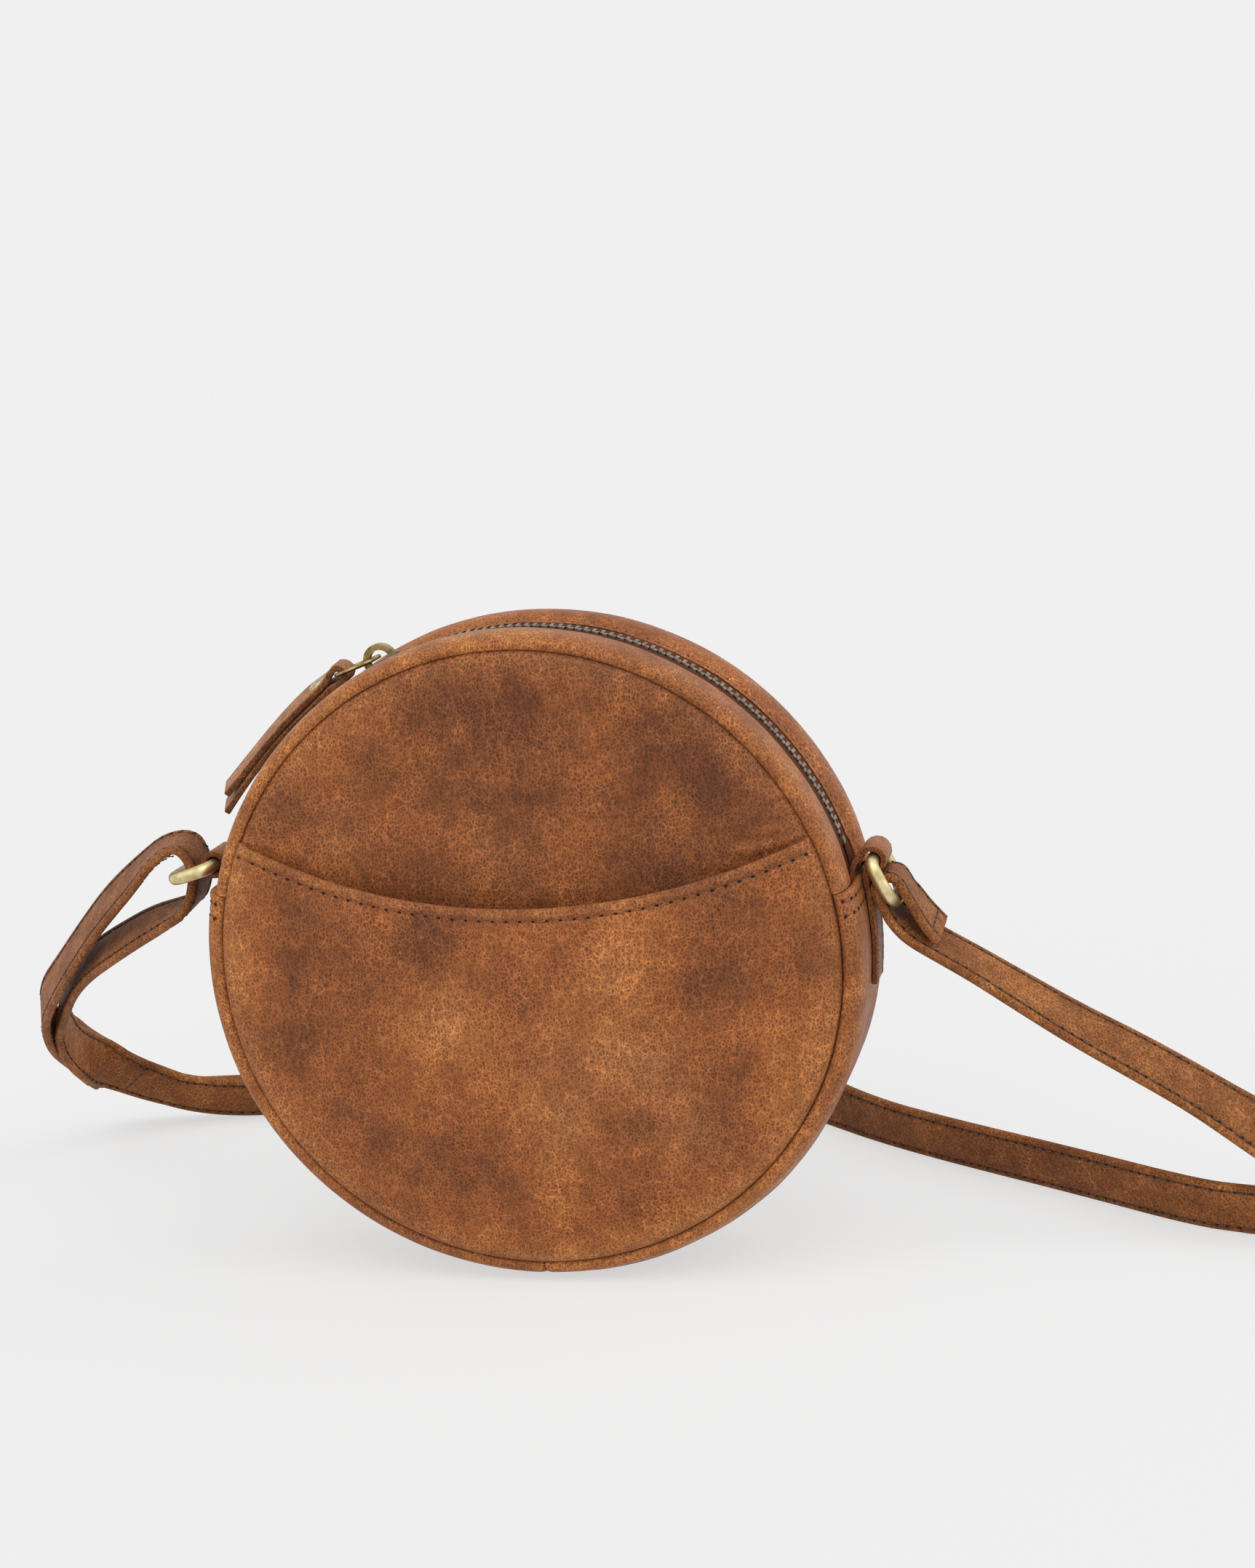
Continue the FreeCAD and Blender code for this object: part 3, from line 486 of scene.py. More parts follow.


# Pieces that run from a ring or the slide at one end to the bag, with the two bodies and the points between
# which they turn to the bag; only the names are read
strap_follow = {"strap_right": ("ring_right", "bag", (112, 0, 112), (180, 15, 58)),
                "strap_left_outer": ("ring_left", "bag", (-112, 0, 124), (-165, 31, 88)),
                "strap_left_inner": ("ring_left", "bag", (-112, 0, 124), (-165, 34, 83)),
                "strap_inner_tail": ("bag", "strap_slide", (-134, 133, 9), (-32, 140, 12))}


def follow(obj, name):
    """Ride on the bag; a piece listed in strap_follow only has its place baked into its mesh."""
    if name in strap_follow:
        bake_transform(obj)
    else:
        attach(obj, "bag")


for name, frames in strap_lines.items():
    strip = sweep_strap(name + "_leather", frames)
    set_material(strip, strap_leather)
    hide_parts(name)
    follow(strip, name)

# %% [markdown]
# ## Gusset
# The gusset is the wall round the bag. Beside each seam it rolls over like piping, and a crease lies
# between that roll and the panel. The upper half is two strips beside the zip; the lower half laps over
# their ends and is joined at the bottom. Each is one section, drawn once and spun round the bag's axis,
# because that keeps the roll even; noise then moves the leather a little, as hand work does.

# %% Gusset sections
leather = 1.6
lap_angle = 12.5
low_crown = 101.0

# Radius and depth along the outside of each piece, from inside the seam over the full roll beside it
seam_curl = [(94.9, -19.5), (94.4, -22), (94, -23.4), (94.1, -24.5), (94.7, -25.4)]
front_outside = seam_curl + [(95.6, -25.9), (96.6, -25.8), (97.5, -25.2), (98.3, -24), (98.85, -22.4),
                             (99.2, -20.5), (99.35, -18), (99.35, -15.5), (99.15, -13), (98.85, -11.4),
                             (98.55, -10.3)]
back_outside = seam_curl + [(95.7, -25.95), (96.9, -25.9), (98, -25.3), (98.9, -24.1), (99.5, -22.6),
                            (99.9, -20.8), (100.1, -18.5), (100.15, -16), (99.95, -13.2), (99.4, -11.4),
                            (98.8, -10.3)]
# Beside the zip each strip has a furrow under its stitches and a turned lip
strip_lip = [(98.3, -9.7), (98.1, -9.2), (98.2, -8.7), (98.25, -8.2), (98.15, -7.7), (97.98, -7.3),
             (97.78, -7.2), (97.64, -7.5), (97.6, -10)]
strip_inside = [(97.7, -13), (97.8, -17), (97.6, -20), (97, -22.3), (96.2, -23), (96, -22), (96.4, -19.5)]
low_outside = [(94.95, -19.5), (94.7, -22), (94.4, -23.4), (94.5, -24.5), (95.1, -25.4), (96.1, -25.95),
               (97.3, -25.9), (98.5, -25.2), (99.5, -24), (100.2, -22.4), (100.65, -20.4), (100.95, -17.6),
               (low_crown, -14), (low_crown, -10), (low_crown, -5)]
low_inside = [(low_crown - leather, -14), (99, -19), (98.2, -22.2), (96.9, -23.3), (96.3, -22), (96.5, -19.5)]
low_section = low_outside + [(low_crown, 0)] + [(r, -y) for r, y in reversed(low_outside)]
low_section += [(r, -y) for r, y in reversed(low_inside)] + [(low_crown - leather, 0)] + low_inside
print("sections of", len(front_outside + strip_lip + strip_inside), "and", len(low_section), "points")


# %% Gusset shapes
def from_axis(place):
    """Distance from the bag's axis, and the angle round it in degrees."""
    return math.hypot(place.x, place.z - centre_z), math.degrees(math.atan2(place.z - centre_z, place.x))


def away(place):
    """Direction straight out from the bag's axis."""
    return Vector((place.x, 0, place.z - centre_z)).normalized()


def leather_waves(place):
    """Unevenness of hand work, none at the seam and only inwards under the tabs."""
    amount = 0.5 * clamp((half_depth - abs(place.y)) / 5)
    wave = amount * (noise.noise(place / 34) * 0.6 + noise.noise(place / 13) * 0.3)
    if abs(place.y) < 10:
        wave = min(wave, 0) - 0.05
    return away(place) * wave


def clear_of_tab(place):
    """Near its ends a zip strip is cut back beside the ring tab."""
    angle = from_axis(place)[1]
    end = min(angle, 180 - angle)
    share = clamp((18.5 - end) / 2.5) * clamp((15 - abs(place.y)) / 8)
    return Vector((0, math.copysign(2.6 * share, place.y), 0))


mm_per_degree = 1.76


def from_bottom(place):
    """Distance round the gusset from the join at the bottom."""
    return (from_axis(place)[1] + 90) * mm_per_degree


def bottom_join(place):
    """The lower pieces are pinched where they are sewn, and sit flat on the floor."""
    pinch = 0.5 * math.exp(-(from_bottom(place) / 0.9) ** 2)
    return Vector((0, 0, max(pinch, -place.z)))


def sag(place):
    """Under the weight of the bag the rolls at the bottom are drawn in under the panels."""
    radius, angle = from_axis(place)
    low = max(math.cos(math.radians(angle + 90) * 1.3), 0) if abs(angle + 90) < 69 else 0
    side = clamp((abs(place.y) - 13) / 8)
    drawn = low * side * side * (3 - 2 * side) * (1.3 + (radius - 94.4) / 6) * clamp((radius - 86) / 8)
    return away(place) * -drawn


lap_rows = (2.9, 6.9)


def lap_fold(place):
    """The lapped end is folded thick, with a furrow under each of its two rows of stitches."""
    radius, angle = from_axis(place)
    below = (lap_angle - min(abs(angle), 180 - abs(angle))) * low_crown * math.pi / 180
    if place.z < centre_z or radius < 97 or abs(place.y) < 8.5:
        return Vector()
    furrows = sum(0.35 * math.exp(-((below - row) / 0.8) ** 2) for row in lap_rows)
    return away(place) * (0.45 * math.exp(-(below / 2.0) ** 4) - furrows)


# %% Gusset pieces
def gusset_marks(obj):
    """Rubbed pale on the rolls, with painted shade in the crease beside the seam and in the bottom join."""
    def rub(place):
        beyond = half_depth - abs(place.y)
        return 0.3 * math.exp(-((beyond - 3.4) / 3.2) ** 2) + 0.06

    def dark(place):
        crease = (95.0 - from_axis(place)[0]) / 0.6 if abs(place.y) < half_depth else 0
        return max(crease, 0.9 * math.exp(-(from_bottom(place) / 0.5) ** 2))
    paint(obj, "rub", rub)
    paint(obj, "crease_shade_and_edge", dark)


gusset = {}
strip_start = lap_angle + 0.15
for name, side, outside in (("front", 1, front_outside), ("back", -1, back_outside)):
    section = [(r, y * side) for r, y in outside + strip_lip + strip_inside]
    strip = spin_section("zip_strip_" + name, section, strip_start, 180 - strip_start, 210)
    sculpt(strip, clear_of_tab, leather_waves)
    gusset_marks(strip)
    gusset[name] = dress(strip, "bag", "zip_gusset_" + name, "body_leather", body_leather)

for name, start, end in (("right", -90, lap_angle), ("left", 180 - lap_angle, 270)):
    wall = spin_section("lower_gusset_" + name + "_leather", low_section, start, end, 240)
    sculpt(wall, leather_waves, lap_fold, sag, bottom_join)
    gusset_marks(wall)
    gusset[name] = dress(wall, "bag", "lower_gusset_" + name, "body_leather", body_leather)

# %% [markdown]
# ## Panels and pocket
# Front and back are round panels with a shallow crown that curl into the seam. The slip pocket is a
# second, fuller panel over the lower front, hollow along its mouth, where the leather is folded over
# and stitched. A plane of many cells is pressed to each outline, so there is no pole in the middle, and
# the cells crowd towards the edges, where the leather curls tightest.

# %% Panel shapes
curl_wide, curl_deep = 3.6, 2.6
# Pull wrinkles above the ends of the pocket: start, end and depth of each
wrinkles = [((89, 139), (56, 131), 0.4), ((90, 143), (62, 137), 0.38), ((87, 147), (66, 143), 0.3),
            ((80, 135), (48, 127), 0.3), ((70, 143), (47, 139), 0.22), ((84, 151), (70, 149), 0.2),
            ((-88, 140), (-66, 134), 0.3), ((-86, 145), (-68, 141), 0.25)]


def panel_depth(place, crown):
    """How far a panel stands out: a shallow crown that curls into the seam at its rim."""
    radius = from_axis(place)[0]
    share = min(radius / seam_radius, 1)
    near = clamp(1 - (seam_radius - radius) / curl_wide)
    return half_depth + crown * (1 - share ** 2) + 0.7 - curl_deep * (1 - math.sqrt(1 - near ** 2))


def dent(place, size, deep):
    """Slow noise over a panel, with hollows of a given size and depth."""
    return noise.noise(Vector((place.x / size, place.z / size, 3.7))) * deep


def hide_waves(place, shift=0):
    """Slow hollows and swellings of a filled bag, dying out at the seam."""
    spot = place + Vector((shift, 0, 0))
    return clamp((seam_radius - from_axis(place)[0]) / 14) * (dent(spot, 38, 0.9) + dent(spot, 15, 0.25))


def wrinkle(place):
    """Shallow creases that sag a little between their ends."""
    deep = 0
    for (ax, az), (bx, bz), depth in wrinkles:
        run = Vector((bx - ax, bz - az))
        here = Vector((place.x - ax, place.z - az))
        share = here.dot(run) / run.length_squared
        if 0 < share < 1:
            off = (here.x * run.y - here.y * run.x) / run.length + 2.2 * math.sin(math.pi * share)
            fold = math.exp(-(off / 1.1) ** 2) - 0.6 * math.exp(-((off - 2.2) / 1.3) ** 2)
            deep += depth * math.sin(math.pi * share) * fold
    return deep


def add_grid(name, columns, rows):
    """A flat grid from -1 to 1."""
    deselect()
    bpy.ops.mesh.primitive_grid_add(x_subdivisions=columns, y_subdivisions=rows, size=2)
    bpy.context.object.name = name
    return bpy.context.object


def round_panel(name, radius, depth, side, thickness, cells):
    """Grid pressed to a disc and pushed out to the depth at each place."""
    obj = add_grid(name, cells, cells)
    for vertex in obj.data.vertices:
        u, v = vertex.co.x, vertex.co.y
        place = Vector((u * math.sqrt(1 - v * v / 2), 0, v * math.sqrt(1 - u * u / 2)))
        share = min(place.length, 1)
        if share > 0:
            place *= radius * (1 - (1 - share) ** 1.6) / share
        place.z += centre_z
        vertex.co = (place + Vector((0, side * depth(place), 0))) * MM
    mode("EDIT")
    if side > 0:
        bpy.ops.mesh.flip_normals()
    mode("OBJECT")
    thicken(obj, thickness)
    smooth()
    return obj


# %% Panel marks
# Where the wax lies darker on panel and pocket and where it is rubbed pale: x, z, reach, strength
panel_stains = [(-3, 178, 13, 1), (43, 169, 9, 0.7), (54, 160, 9, 0.7), (60, 148, 9, 0.6), (34, 145, 10, 0.6),
                (-27, 175, 10, 0.6), (-43, 159, 9, 0.5), (-70, 147, 9, 0.8), (6, 153, 15, 0.45),
                (-17, 153, 13, 0.4), (43, 130, 12, 0.7), (-34, 127, 14, 0.5)]
pocket_stains = [(-26, 111, 11, 1), (-70, 116, 14, 0.9), (-67, 97, 14, 0.9), (-73, 76, 10, 0.9),
                 (-47, 108, 15, 0.5), (63, 119, 11, 0.7), (63, 97, 12, 0.7), (49, 96, 9, 0.5),
                 (81, 103, 10, 0.5), (18, 111, 8, 0.5), (-48, 46, 8, 0.7), (-28, 36, 13, 0.6),
                 (-8, 32, 10, 0.4), (31, 51, 8, 0.6), (32, 30, 10, 0.7), (61, 45, 10, 0.5), (62, 70, 8, 0.5),
                 (-61, 55, 8, 0.6), (-3, 94, 10, 0.4), (-49, 76, 14, 0.3)]
pale_places = [(36, 71, 12, 0.8), (14, 75, 14, 0.5), (10, 53, 10, 0.6), (48, 51, 10, 0.6), (-22, 87, 10, 0.5),
               (28, 102, 10, 0.4), (-55, 139, 9, 0.4), (-5, 135, 10, 0.3)]


def patch(place, spots):
    """Sum of soft round patches at a place."""
    return sum(strength * math.exp(-((place.x - x) ** 2 + (place.z - z) ** 2) / reach ** 2)
               for x, z, reach, strength in spots)


def panel_marks(obj, stains, pale=(), wax=0.0):
    """Dark and pale patches over an even wax, a pale band beside the seam, and painted shade in its crease.
    """
    def from_rim(place):
        return seam_radius - from_axis(place)[0]
    paint(obj, "stain", lambda p: wax + patch(p, stains))
    paint(obj, "rub", lambda p: 0.2 * math.exp(-((from_rim(p) - 3.0) / 4.0) ** 2) + 0.45 * patch(p, pale))
    paint(obj, "crease_shade_and_edge", lambda p: 1 - from_rim(p) / 0.6)


front_crown, back_crown = 4.0, 6.0
front = round_panel("front_panel_leather", seam_radius,
                    lambda p: panel_depth(p, front_crown) + hide_waves(p) - wrinkle(p), -1, leather, 210)
panel_marks(front, panel_stains, pale_places[-2:], 0.36)
sculpt(front, sag)
dress(front, "bag", "front_panel", "body_leather", body_leather)
# The back has waves of its own, read from another part of the noise
back = round_panel("back_panel_leather", seam_radius,
                   lambda p: panel_depth(p, back_crown) + hide_waves(p, 300), 1, leather, 120)
panel_marks(back, panel_stains[3:9])
sculpt(back, sag)
dress(back, "bag", "back_panel", "body_leather", body_leather)

# %% Slip pocket
mouth_radius, mouth_low = 217.0, 119.9
mouth_turn, mouth_row = 23.6, 3.9
pocket_crown = 11.5
corner_left, corner_right = 228, 312


def mouth_height(x):
    """Height of the mouth's edge, a hollow arc."""
    return mouth_low + mouth_radius - math.sqrt(mouth_radius ** 2 - x * x)


def rim(turn):
    return polar(seam_radius, turn)


def crowded(share):
    """Same share of a side, with the cells crowded towards both ends."""
    return 0.3 * share + 0.7 * (1 - math.cos(math.pi * share)) / 2


def pocket_place(u, v):
    """Point of the pocket: u runs from left to right, v from the bottom rim to the mouth."""
    left, right = 180 - mouth_turn, mouth_turn
    low = rim(corner_left + (corner_right - corner_left) * u)
    ends = rim(left).x, rim(right).x
    x = ends[0] + (ends[1] - ends[0]) * u
    high = Vector((x, 0, mouth_height(x)))
    side_l = rim(corner_left + (left - corner_left) * v)
    side_r = rim(corner_right + (360 + right - corner_right) * v)
    across = side_l * (1 - u) + side_r * u
    corners = (rim(corner_left) * (1 - u) + rim(corner_right) * u) * (1 - v)
    corners += (rim(left) * (1 - u) + rim(right) * u) * v
    return low * (1 - v) + high * v + across - corners


def pocket_depth(place):
    """Full dome, a thicker folded band along the mouth and a furrow under its stitches."""
    from_mouth = mouth_height(place.x) - place.z
    fold = 0.9 * math.exp(-(from_mouth / 3.1) ** 6) - 0.4 * math.exp(-((from_mouth - mouth_row) / 0.7) ** 2)
    inside = clamp((seam_radius - from_axis(place)[0]) / 4)
    return panel_depth(place, pocket_crown) + leather + 0.15 + 1.1 * hide_waves(place) + fold * inside


pocket = add_grid("front_pocket_leather", 150, 140)
for vertex in pocket.data.vertices:
    place = pocket_place(crowded((vertex.co.x + 1) / 2), crowded((vertex.co.y + 1) / 2))
    vertex.co = (place - Vector((0, pocket_depth(place), 0))) * MM
thicken(pocket, leather, bevel=0.55)
smooth()
panel_marks(pocket, pocket_stains, pale_places)
sculpt(pocket, sag)
# The folded band along the mouth is rubbed paler
for vertex, item in zip(pocket.data.vertices, pocket.data.attributes["rub"].data):
    down = mouth_height(vertex.co.x / MM) - vertex.co.z / MM
    item.value = max(item.value, 0.2 * math.exp(-(down / 3.2) ** 6))
dress(pocket, "bag", "front_pocket_panel", "body_leather", body_leather)

# %% [markdown]
# ## Ring tabs
# A leather strip comes out under the end of each lower piece, curls round the bar of the ring and is
# sewn down on the outside of the gusset. It is a line bent to that route, extruded to the strip's width
# and thickened, which is how the strip is cut and folded.

# %% Ring tabs
tab_angle, tab_half, tab_thick = 14.6, 7.5, 1.6


def round_eye(middle, first, second, radius, turns):
    """Points round an eye, at angles counted from the first direction to the second."""
    angles = [math.radians(turn) for turn in turns]
    return [middle + (first * math.cos(a) + second * math.sin(a)) * radius for a in angles]


outward = (polar(1, tab_angle) - polar(0, 0)).normalized()
onward = Vector((-outward.z, 0, outward.x))
tab_line = [polar(98.4, angle) for angle in (7, 10, 12.4)] + [polar(98.9, 13.9), polar(100.5, 15.0)]
tab_line += round_eye(polar(105.45, tab_angle), outward, onward, 3.5,
                      (152, 128, 104, 80, 55, 30, 5, -20, -45, -70, -95, -120, -140))
tab_line += [polar(102.25, 12.5)] + [polar(101.97, angle) for angle in (11.2, 9, 6, 3, 0, -3, -6.3)]

sides = ("right", 1), ("left", -1)
tabs = {}
for name, side in sides:
    line = [Vector((p.x * side, -tab_half, p.z)) for p in tab_line]
    tab = ribbon("ring_tab_" + name + "_leather", line, (0, 2 * tab_half, 0), tab_thick, 0.45)
    paint(tab, "rub", lambda p: 0.15)
    paint(tab, "crease_shade_and_edge", lambda p: (abs(p.y) - 7.15) * 1.6)
    tabs[name] = dress(tab, "bag", "ring_tab_" + name, "body_leather", body_leather)

# %% [markdown]
# ## Zip tape
# The tape is a woven polyester ribbon, sewn under the strips with the metal teeth clamped to its edge. It
# is spun like the strips, and behind the slider its edge is drawn aside where the teeth have parted.

# %% Tape cloth
# Polyester twill: a dull dark cloth whose fine ribs slant across the tape. The ribs are 0.8 mm apart, a
# little coarser than the real twill so that they show
rib_spacing, tape_length = 0.0008, 0.276
zip_cloth, tree, shader = new_material("polyester_twill")
here = add(tree, "TexCoord").outputs["Object"]
run = add(tree, "Attribute", {"attribute_name": "along"}).outputs["Fac"]
run_length = add(tree, "Math", multiply, i0=run, i1=tape_length)
flat_place = add(tree, "CombineXYZ", X=run_length, Y=add(tree, "SeparateXYZ", Vector=here).outputs["Y"])
twill = add(tree, "TexWave", {"bands_direction": "DIAGONAL"}, Vector=flat_place,
            Scale=math.tau / 10 / rib_spacing, Distortion=0.6).outputs["Fac"]
colour = add(tree, "ValToRGB", stops=[(0.1, "#4a2616"), (0.8, "#6e3f28")], Fac=twill)
bump = add(tree, "Bump", Strength=0.5, Distance=0.0001, Height=twill)
wire(tree, shader, Base_Color=colour, Normal=bump, Roughness=0.95, Specular_IOR_Level=0.1)
print(zip_cloth.name, "with ribs every", rib_spacing / MM, "mm")

# %% Zip tape
tape_top, tape_thick, tape_edge = 97.45, 0.6, 1.7
tape_end = 8.6
slider_angle, tooth_radius = 117.6, 97.15
tape_section = [(tape_top, y) for y in (13, 8, 4.5, 2.6)] + [
    (tape_top - 0.05, 1.8), (tape_top - 0.3, tape_edge), (tape_top - 0.55, 1.8),
    (tape_top - tape_thick, 2.6), (tape_top - tape_thick, 13)]


def parting(angle):
    """How far the teeth stand apart at an angle, open to the left of the slider."""
    share = clamp((math.radians(angle - slider_angle) * tooth_radius + 1) / 5)
    return 1.4 * share * share * (3 - 2 * share)


def part_tape(place):
    """Move of the tape's edge with the parted teeth."""
    near = clamp((6 - abs(place.y)) / 3)
    return Vector((0, math.copysign(parting(from_axis(place)[1]) * near, place.y), 0))


faces = ("front", -1), ("back", 1)
for name, side in faces:
    section = [(r, y * side) for r, y in tape_section]
    tape = spin_section("zip_tape_" + name, section, tape_end, 180 - tape_end, 190)
    sculpt(tape, part_tape)
    paint(tape, "along", lambda p: from_axis(p)[1] / 180)
    dress(tape, "bag", "zipper_tape_" + name, "zip_tape", zip_cloth)

# %% [markdown]
# ## Lining
# Inside hangs a plain cotton lining: two round pieces and a band between them, slit under the zip. It
# is only glimpsed through the mouth, so its folds are shallow.

# %% Lining cloth
# Plain cotton, dull and brown; its weave is drawn at 0.9 mm, coarser than the cloth so that it shows
thread_spacing = 0.0009
lining_cloth, tree, shader = new_material("cotton_lining")
here = add(tree, "TexCoord").outputs["Object"]
warp, weft = (add(tree, "TexWave", {"bands_direction": way}, Vector=here,
                  Scale=math.tau / 20 / thread_spacing).outputs["Fac"] for way in "XZ")
weave = add(tree, "Math", multiply, i0=warp, i1=weft)
colour = add(tree, "ValToRGB", stops=[(0.0, "#3a2c22"), (1.0, "#6a5442")], Fac=weave)
bump = add(tree, "Bump", Strength=0.4, Distance=0.0001, Height=weave)
wire(tree, shader, Base_Color=colour, Normal=bump, Roughness=0.9, Sheen_Weight=0.15)
print(lining_cloth.name, "with threads every", thread_spacing / MM, "mm")

# %% Lining
lining_radius, lining_depth, band_radius, slit_half, cloth_thick = 93.0, 22.3, 92.0, 8.5, 0.6
for name, side in faces:
    disc = round_panel("lining_" + name + "_cloth", lining_radius, lambda p: lining_depth + dent(p, 20, 0.2),
                       side, cloth_thick, 50)
    dress(disc, "bag", "lining_" + name, "lining_cloth", lining_cloth)

depths = (-21.6, -15, -slit_half, 0, slit_half, 15, 21.6)
band = draw_chain("lining_band_cloth", [polar(band_radius, 0, y) for y in depths])
spin_round(180, 0, 360)
weld()
bpy.ops.mesh.normals_make_consistent(inside=False)
bpy.ops.mesh.select_all(action="DESELECT")
mode("OBJECT")
for face in band.data.polygons:
    middle = face.center / MM
    face.select = abs(middle.y) < slit_half and 17 < from_axis(middle)[1] < 163
mode("EDIT")
bpy.ops.mesh.delete(type="FACE")
mode("OBJECT")
thicken(band, cloth_thick)
smooth()
dress(band, "bag", "lining_gusset", "lining_cloth", lining_cloth)

# %% [markdown]
# ## Zip pull and strap end
# The pull is a leather strip folded round the link, its two leaves held by a rivet, with burnished dark
# edges. The strap's own end is folded round the bar of the slide in the same way.

# %% Pull
pull_seat = Vector((-59.0096, 0, 184.6733))
pull_bend, pull_lean = 220, math.radians(1.5)
pull_half, pull_thick, leaf = 5, 1.95, 1.1
up = Matrix.Rotation(-pull_lean, 3, "Y") @ (pull_seat - Vector((0, 0, centre_z))).normalized()
down_the_pull = Vector((-up.z, 0, up.x))
pull_centre = pull_seat - up * pull_bend
pull_start = math.atan2(up.z, up.x)


def on_pull(along, lift):
    """Point at a length from the pull's eye and a height over its middle."""
    turn = pull_start + along / pull_bend
    return pull_centre + Vector((math.cos(turn), 0, math.sin(turn))) * (pull_bend + lift)


# The lower leaf sags away from the upper one, from its tip to the eye and back along the upper leaf
pull_line = [on_pull(along, -leaf - 1.2 * max(0, along - 30) / 28)
             for along in (58, 51, 44, 37, 30, 24, 18, 12, 8, 5)]
pull_line += [on_pull(3.4, -1.5), on_pull(1.8, -2.05)]
pull_line += round_eye(pull_seat, up, down_the_pull, 2.4, (200, 225, 250, 270, 290, 315, 340))
pull_line += [on_pull(1.8, 2.05), on_pull(3.4, 1.5)]
pull_line += [on_pull(along, leaf + 0.35 * math.sin(along / 9))
              for along in (5, 8, 12, 18, 24, 30, 36, 42, 48, 53)]

pull = ribbon("zip_pull_leather", [p - Vector((0, pull_half, 0)) for p in pull_line], (0, 2 * pull_half, 0),
              pull_thick, 0.4)
paint(pull, "rub", lambda p: 0.3)
paint(pull, "crease_shade_and_edge", lambda p: (abs(p.y) - 4.55) * 1.4)


def pull_twist(along):
    """Turn about its length: beyond the eye the upper face comes round to the front."""
    return math.radians(19) * clamp((along + 4) / 14)


def hang_askew(place):
    """Move of a point of the pull for that twist."""
    turn = math.atan2(place.z - pull_centre.z, place.x - pull_centre.x)
    twist = pull_twist((turn - pull_start) * pull_bend)
    out = Vector((math.cos(turn), 0, math.sin(turn)))
    lift = (place - pull_centre).dot(out) - pull_bend
    across = place.y * math.cos(twist) - lift * math.sin(twist)
    rise = lift * math.cos(twist) + place.y * math.sin(twist) - lift
    return out * rise + Vector((0, across - place.y, 0))


sculpt(pull, hang_askew)
pull_leather = waxed_leather("pull_hide", "#4f2f1b", "#7c4a28", "#985f34", 25)
dress(pull, "leather_pull", "pull_tab", "pull_leather", pull_leather)

# %% Strap end
loop_middle = Vector((0, 138.5, 3.6))
loop_runs = (-27.8, -21, -14, -8, -4.5)
loop_line = [loop_middle + Vector((x, -1.6, 0)) for x in loop_runs]
loop_line += round_eye(loop_middle, Vector((1, 0, 0)), Vector((0, 1, 0)), 3.3,
                       (-115, -90, -60, -30, 0, 30, 60, 90, 115))
loop_line += [loop_middle + Vector((x, 1.6, 0)) for x in reversed(loop_runs)]
strap_end = ribbon("strap_end_leather", loop_line, (0, 0, 2 * strap_half), 2.9, 0.7)
dress(strap_end, "strap_slide", "strap_end_loop", "strap_leather", strap_leather)

# %% [markdown]
# ## Stitching
# Thick waxed thread runs along every edge, and each stitch pulls down into a needle hole. A stitch of
# each size is modelled once, a fat thread and a near-black blob of painted shade for the hole at its end, and
# copied along rows that are read off the finished surfaces, so that it lies on the leather wherever that has
# been pushed.

# %% Thread and stitch
def fibrous(name, dark, pale, fibre_mm, detail, rough):
    """Dull material of two tones, mixed by a noise as fine as its fibres."""
    material, tree, shader = new_material(name)
    here = add(tree, "TexCoord").outputs["Object"]
    fibre = add(tree, "TexNoise", Vector=here, Scale=1000 / fibre_mm, Detail=detail)
    tone = add(tree, "ValToRGB", stops=[(0.3, dark), (0.7, pale)], Fac=fibre)
    wire(tree, shader, Base_Color=tone, Roughness=rough)
    return material


# Waxed polyester thread with darker turns 0.5 mm apart: an orange brown on the body; on the strap the same
# thread is darkened as painted shade of its furrows
thread = fibrous("waxed_polyester_thread", "#5a3419", "#a06534", 0.5, 1.0, 0.6)
shaded_thread = fibrous("shaded_waxed_thread", "#402415", "#6e4628", 0.5, 1.0, 0.7)
# The holes are almost black dots of painted shade, the shadow inside each hole, with fibres of 0.4 mm
painted_hole_shade = fibrous("painted_hole_shade", "#120a06", "#24140c", 0.4, 2.0, 0.95)


def model_stitch(pitch, wide, hole, yarn):
    """One stitch along X, with a dark blob of painted shade for the needle hole at its end."""
    deselect()
    parts = []
    for size, place, material in (((pitch * 0.38, wide / 2, wide * 0.45), 0, yarn),
                                  ((hole * 1.2, hole, hole * 0.45), pitch / 2, painted_hole_shade)):
        bpy.ops.mesh.primitive_uv_sphere_add(segments=8, ring_count=5, radius=MM)
        mode("EDIT")
        bpy.ops.transform.resize(value=size)
        bpy.ops.transform.translate(value=(place * MM, 0, 0))
        mode("OBJECT")
        bpy.ops.object.shade_smooth()
        set_material(bpy.context.object, material)
        parts.append(bpy.context.object)
    for part in parts:
        part.select_set(True)
    bpy.ops.object.join()
    return bpy.context.object


mouth_pitch, small_pitch, strap_pitch = 4.1, 3.4, 3.8
mouth_stitch = model_stitch(mouth_pitch, 0.6, 0.5, thread)
lap_stitch = model_stitch(mouth_pitch, 0.6, 0.62, thread)
small_stitch = model_stitch(small_pitch, 0.7, 0.4, thread)
# The strap's stitches take the thread darkened as painted shade of the furrows
strap_stitch = model_stitch(strap_pitch, 0.75, 0.46, shaded_thread)
print("stitch of", len(small_stitch.data.polygons), "faces")


# %% Rows of stitches
def stitch_row(name, model, spots):
    """Copy a stitch to every spot (place in metres, heading, surface direction) as one piece."""
    deselect()
    for place, heading, normal in spots:
        along = (heading - normal * heading.dot(normal)).normalized()
        copy = model.copy()
        copy.data = model.data.copy()
        copy.matrix_world = set_at(place, along, normal.cross(along), normal)
        bpy.context.collection.objects.link(copy)
        copy.select_set(True)
        bpy.context.view_layer.objects.active = copy
    bpy.ops.object.join()
    row = bpy.context.object
    row.name = name
    bpy.ops.object.transform_apply(location=True, rotation=True, scale=True)
    print(name, len(spots), "stitches")
    return row


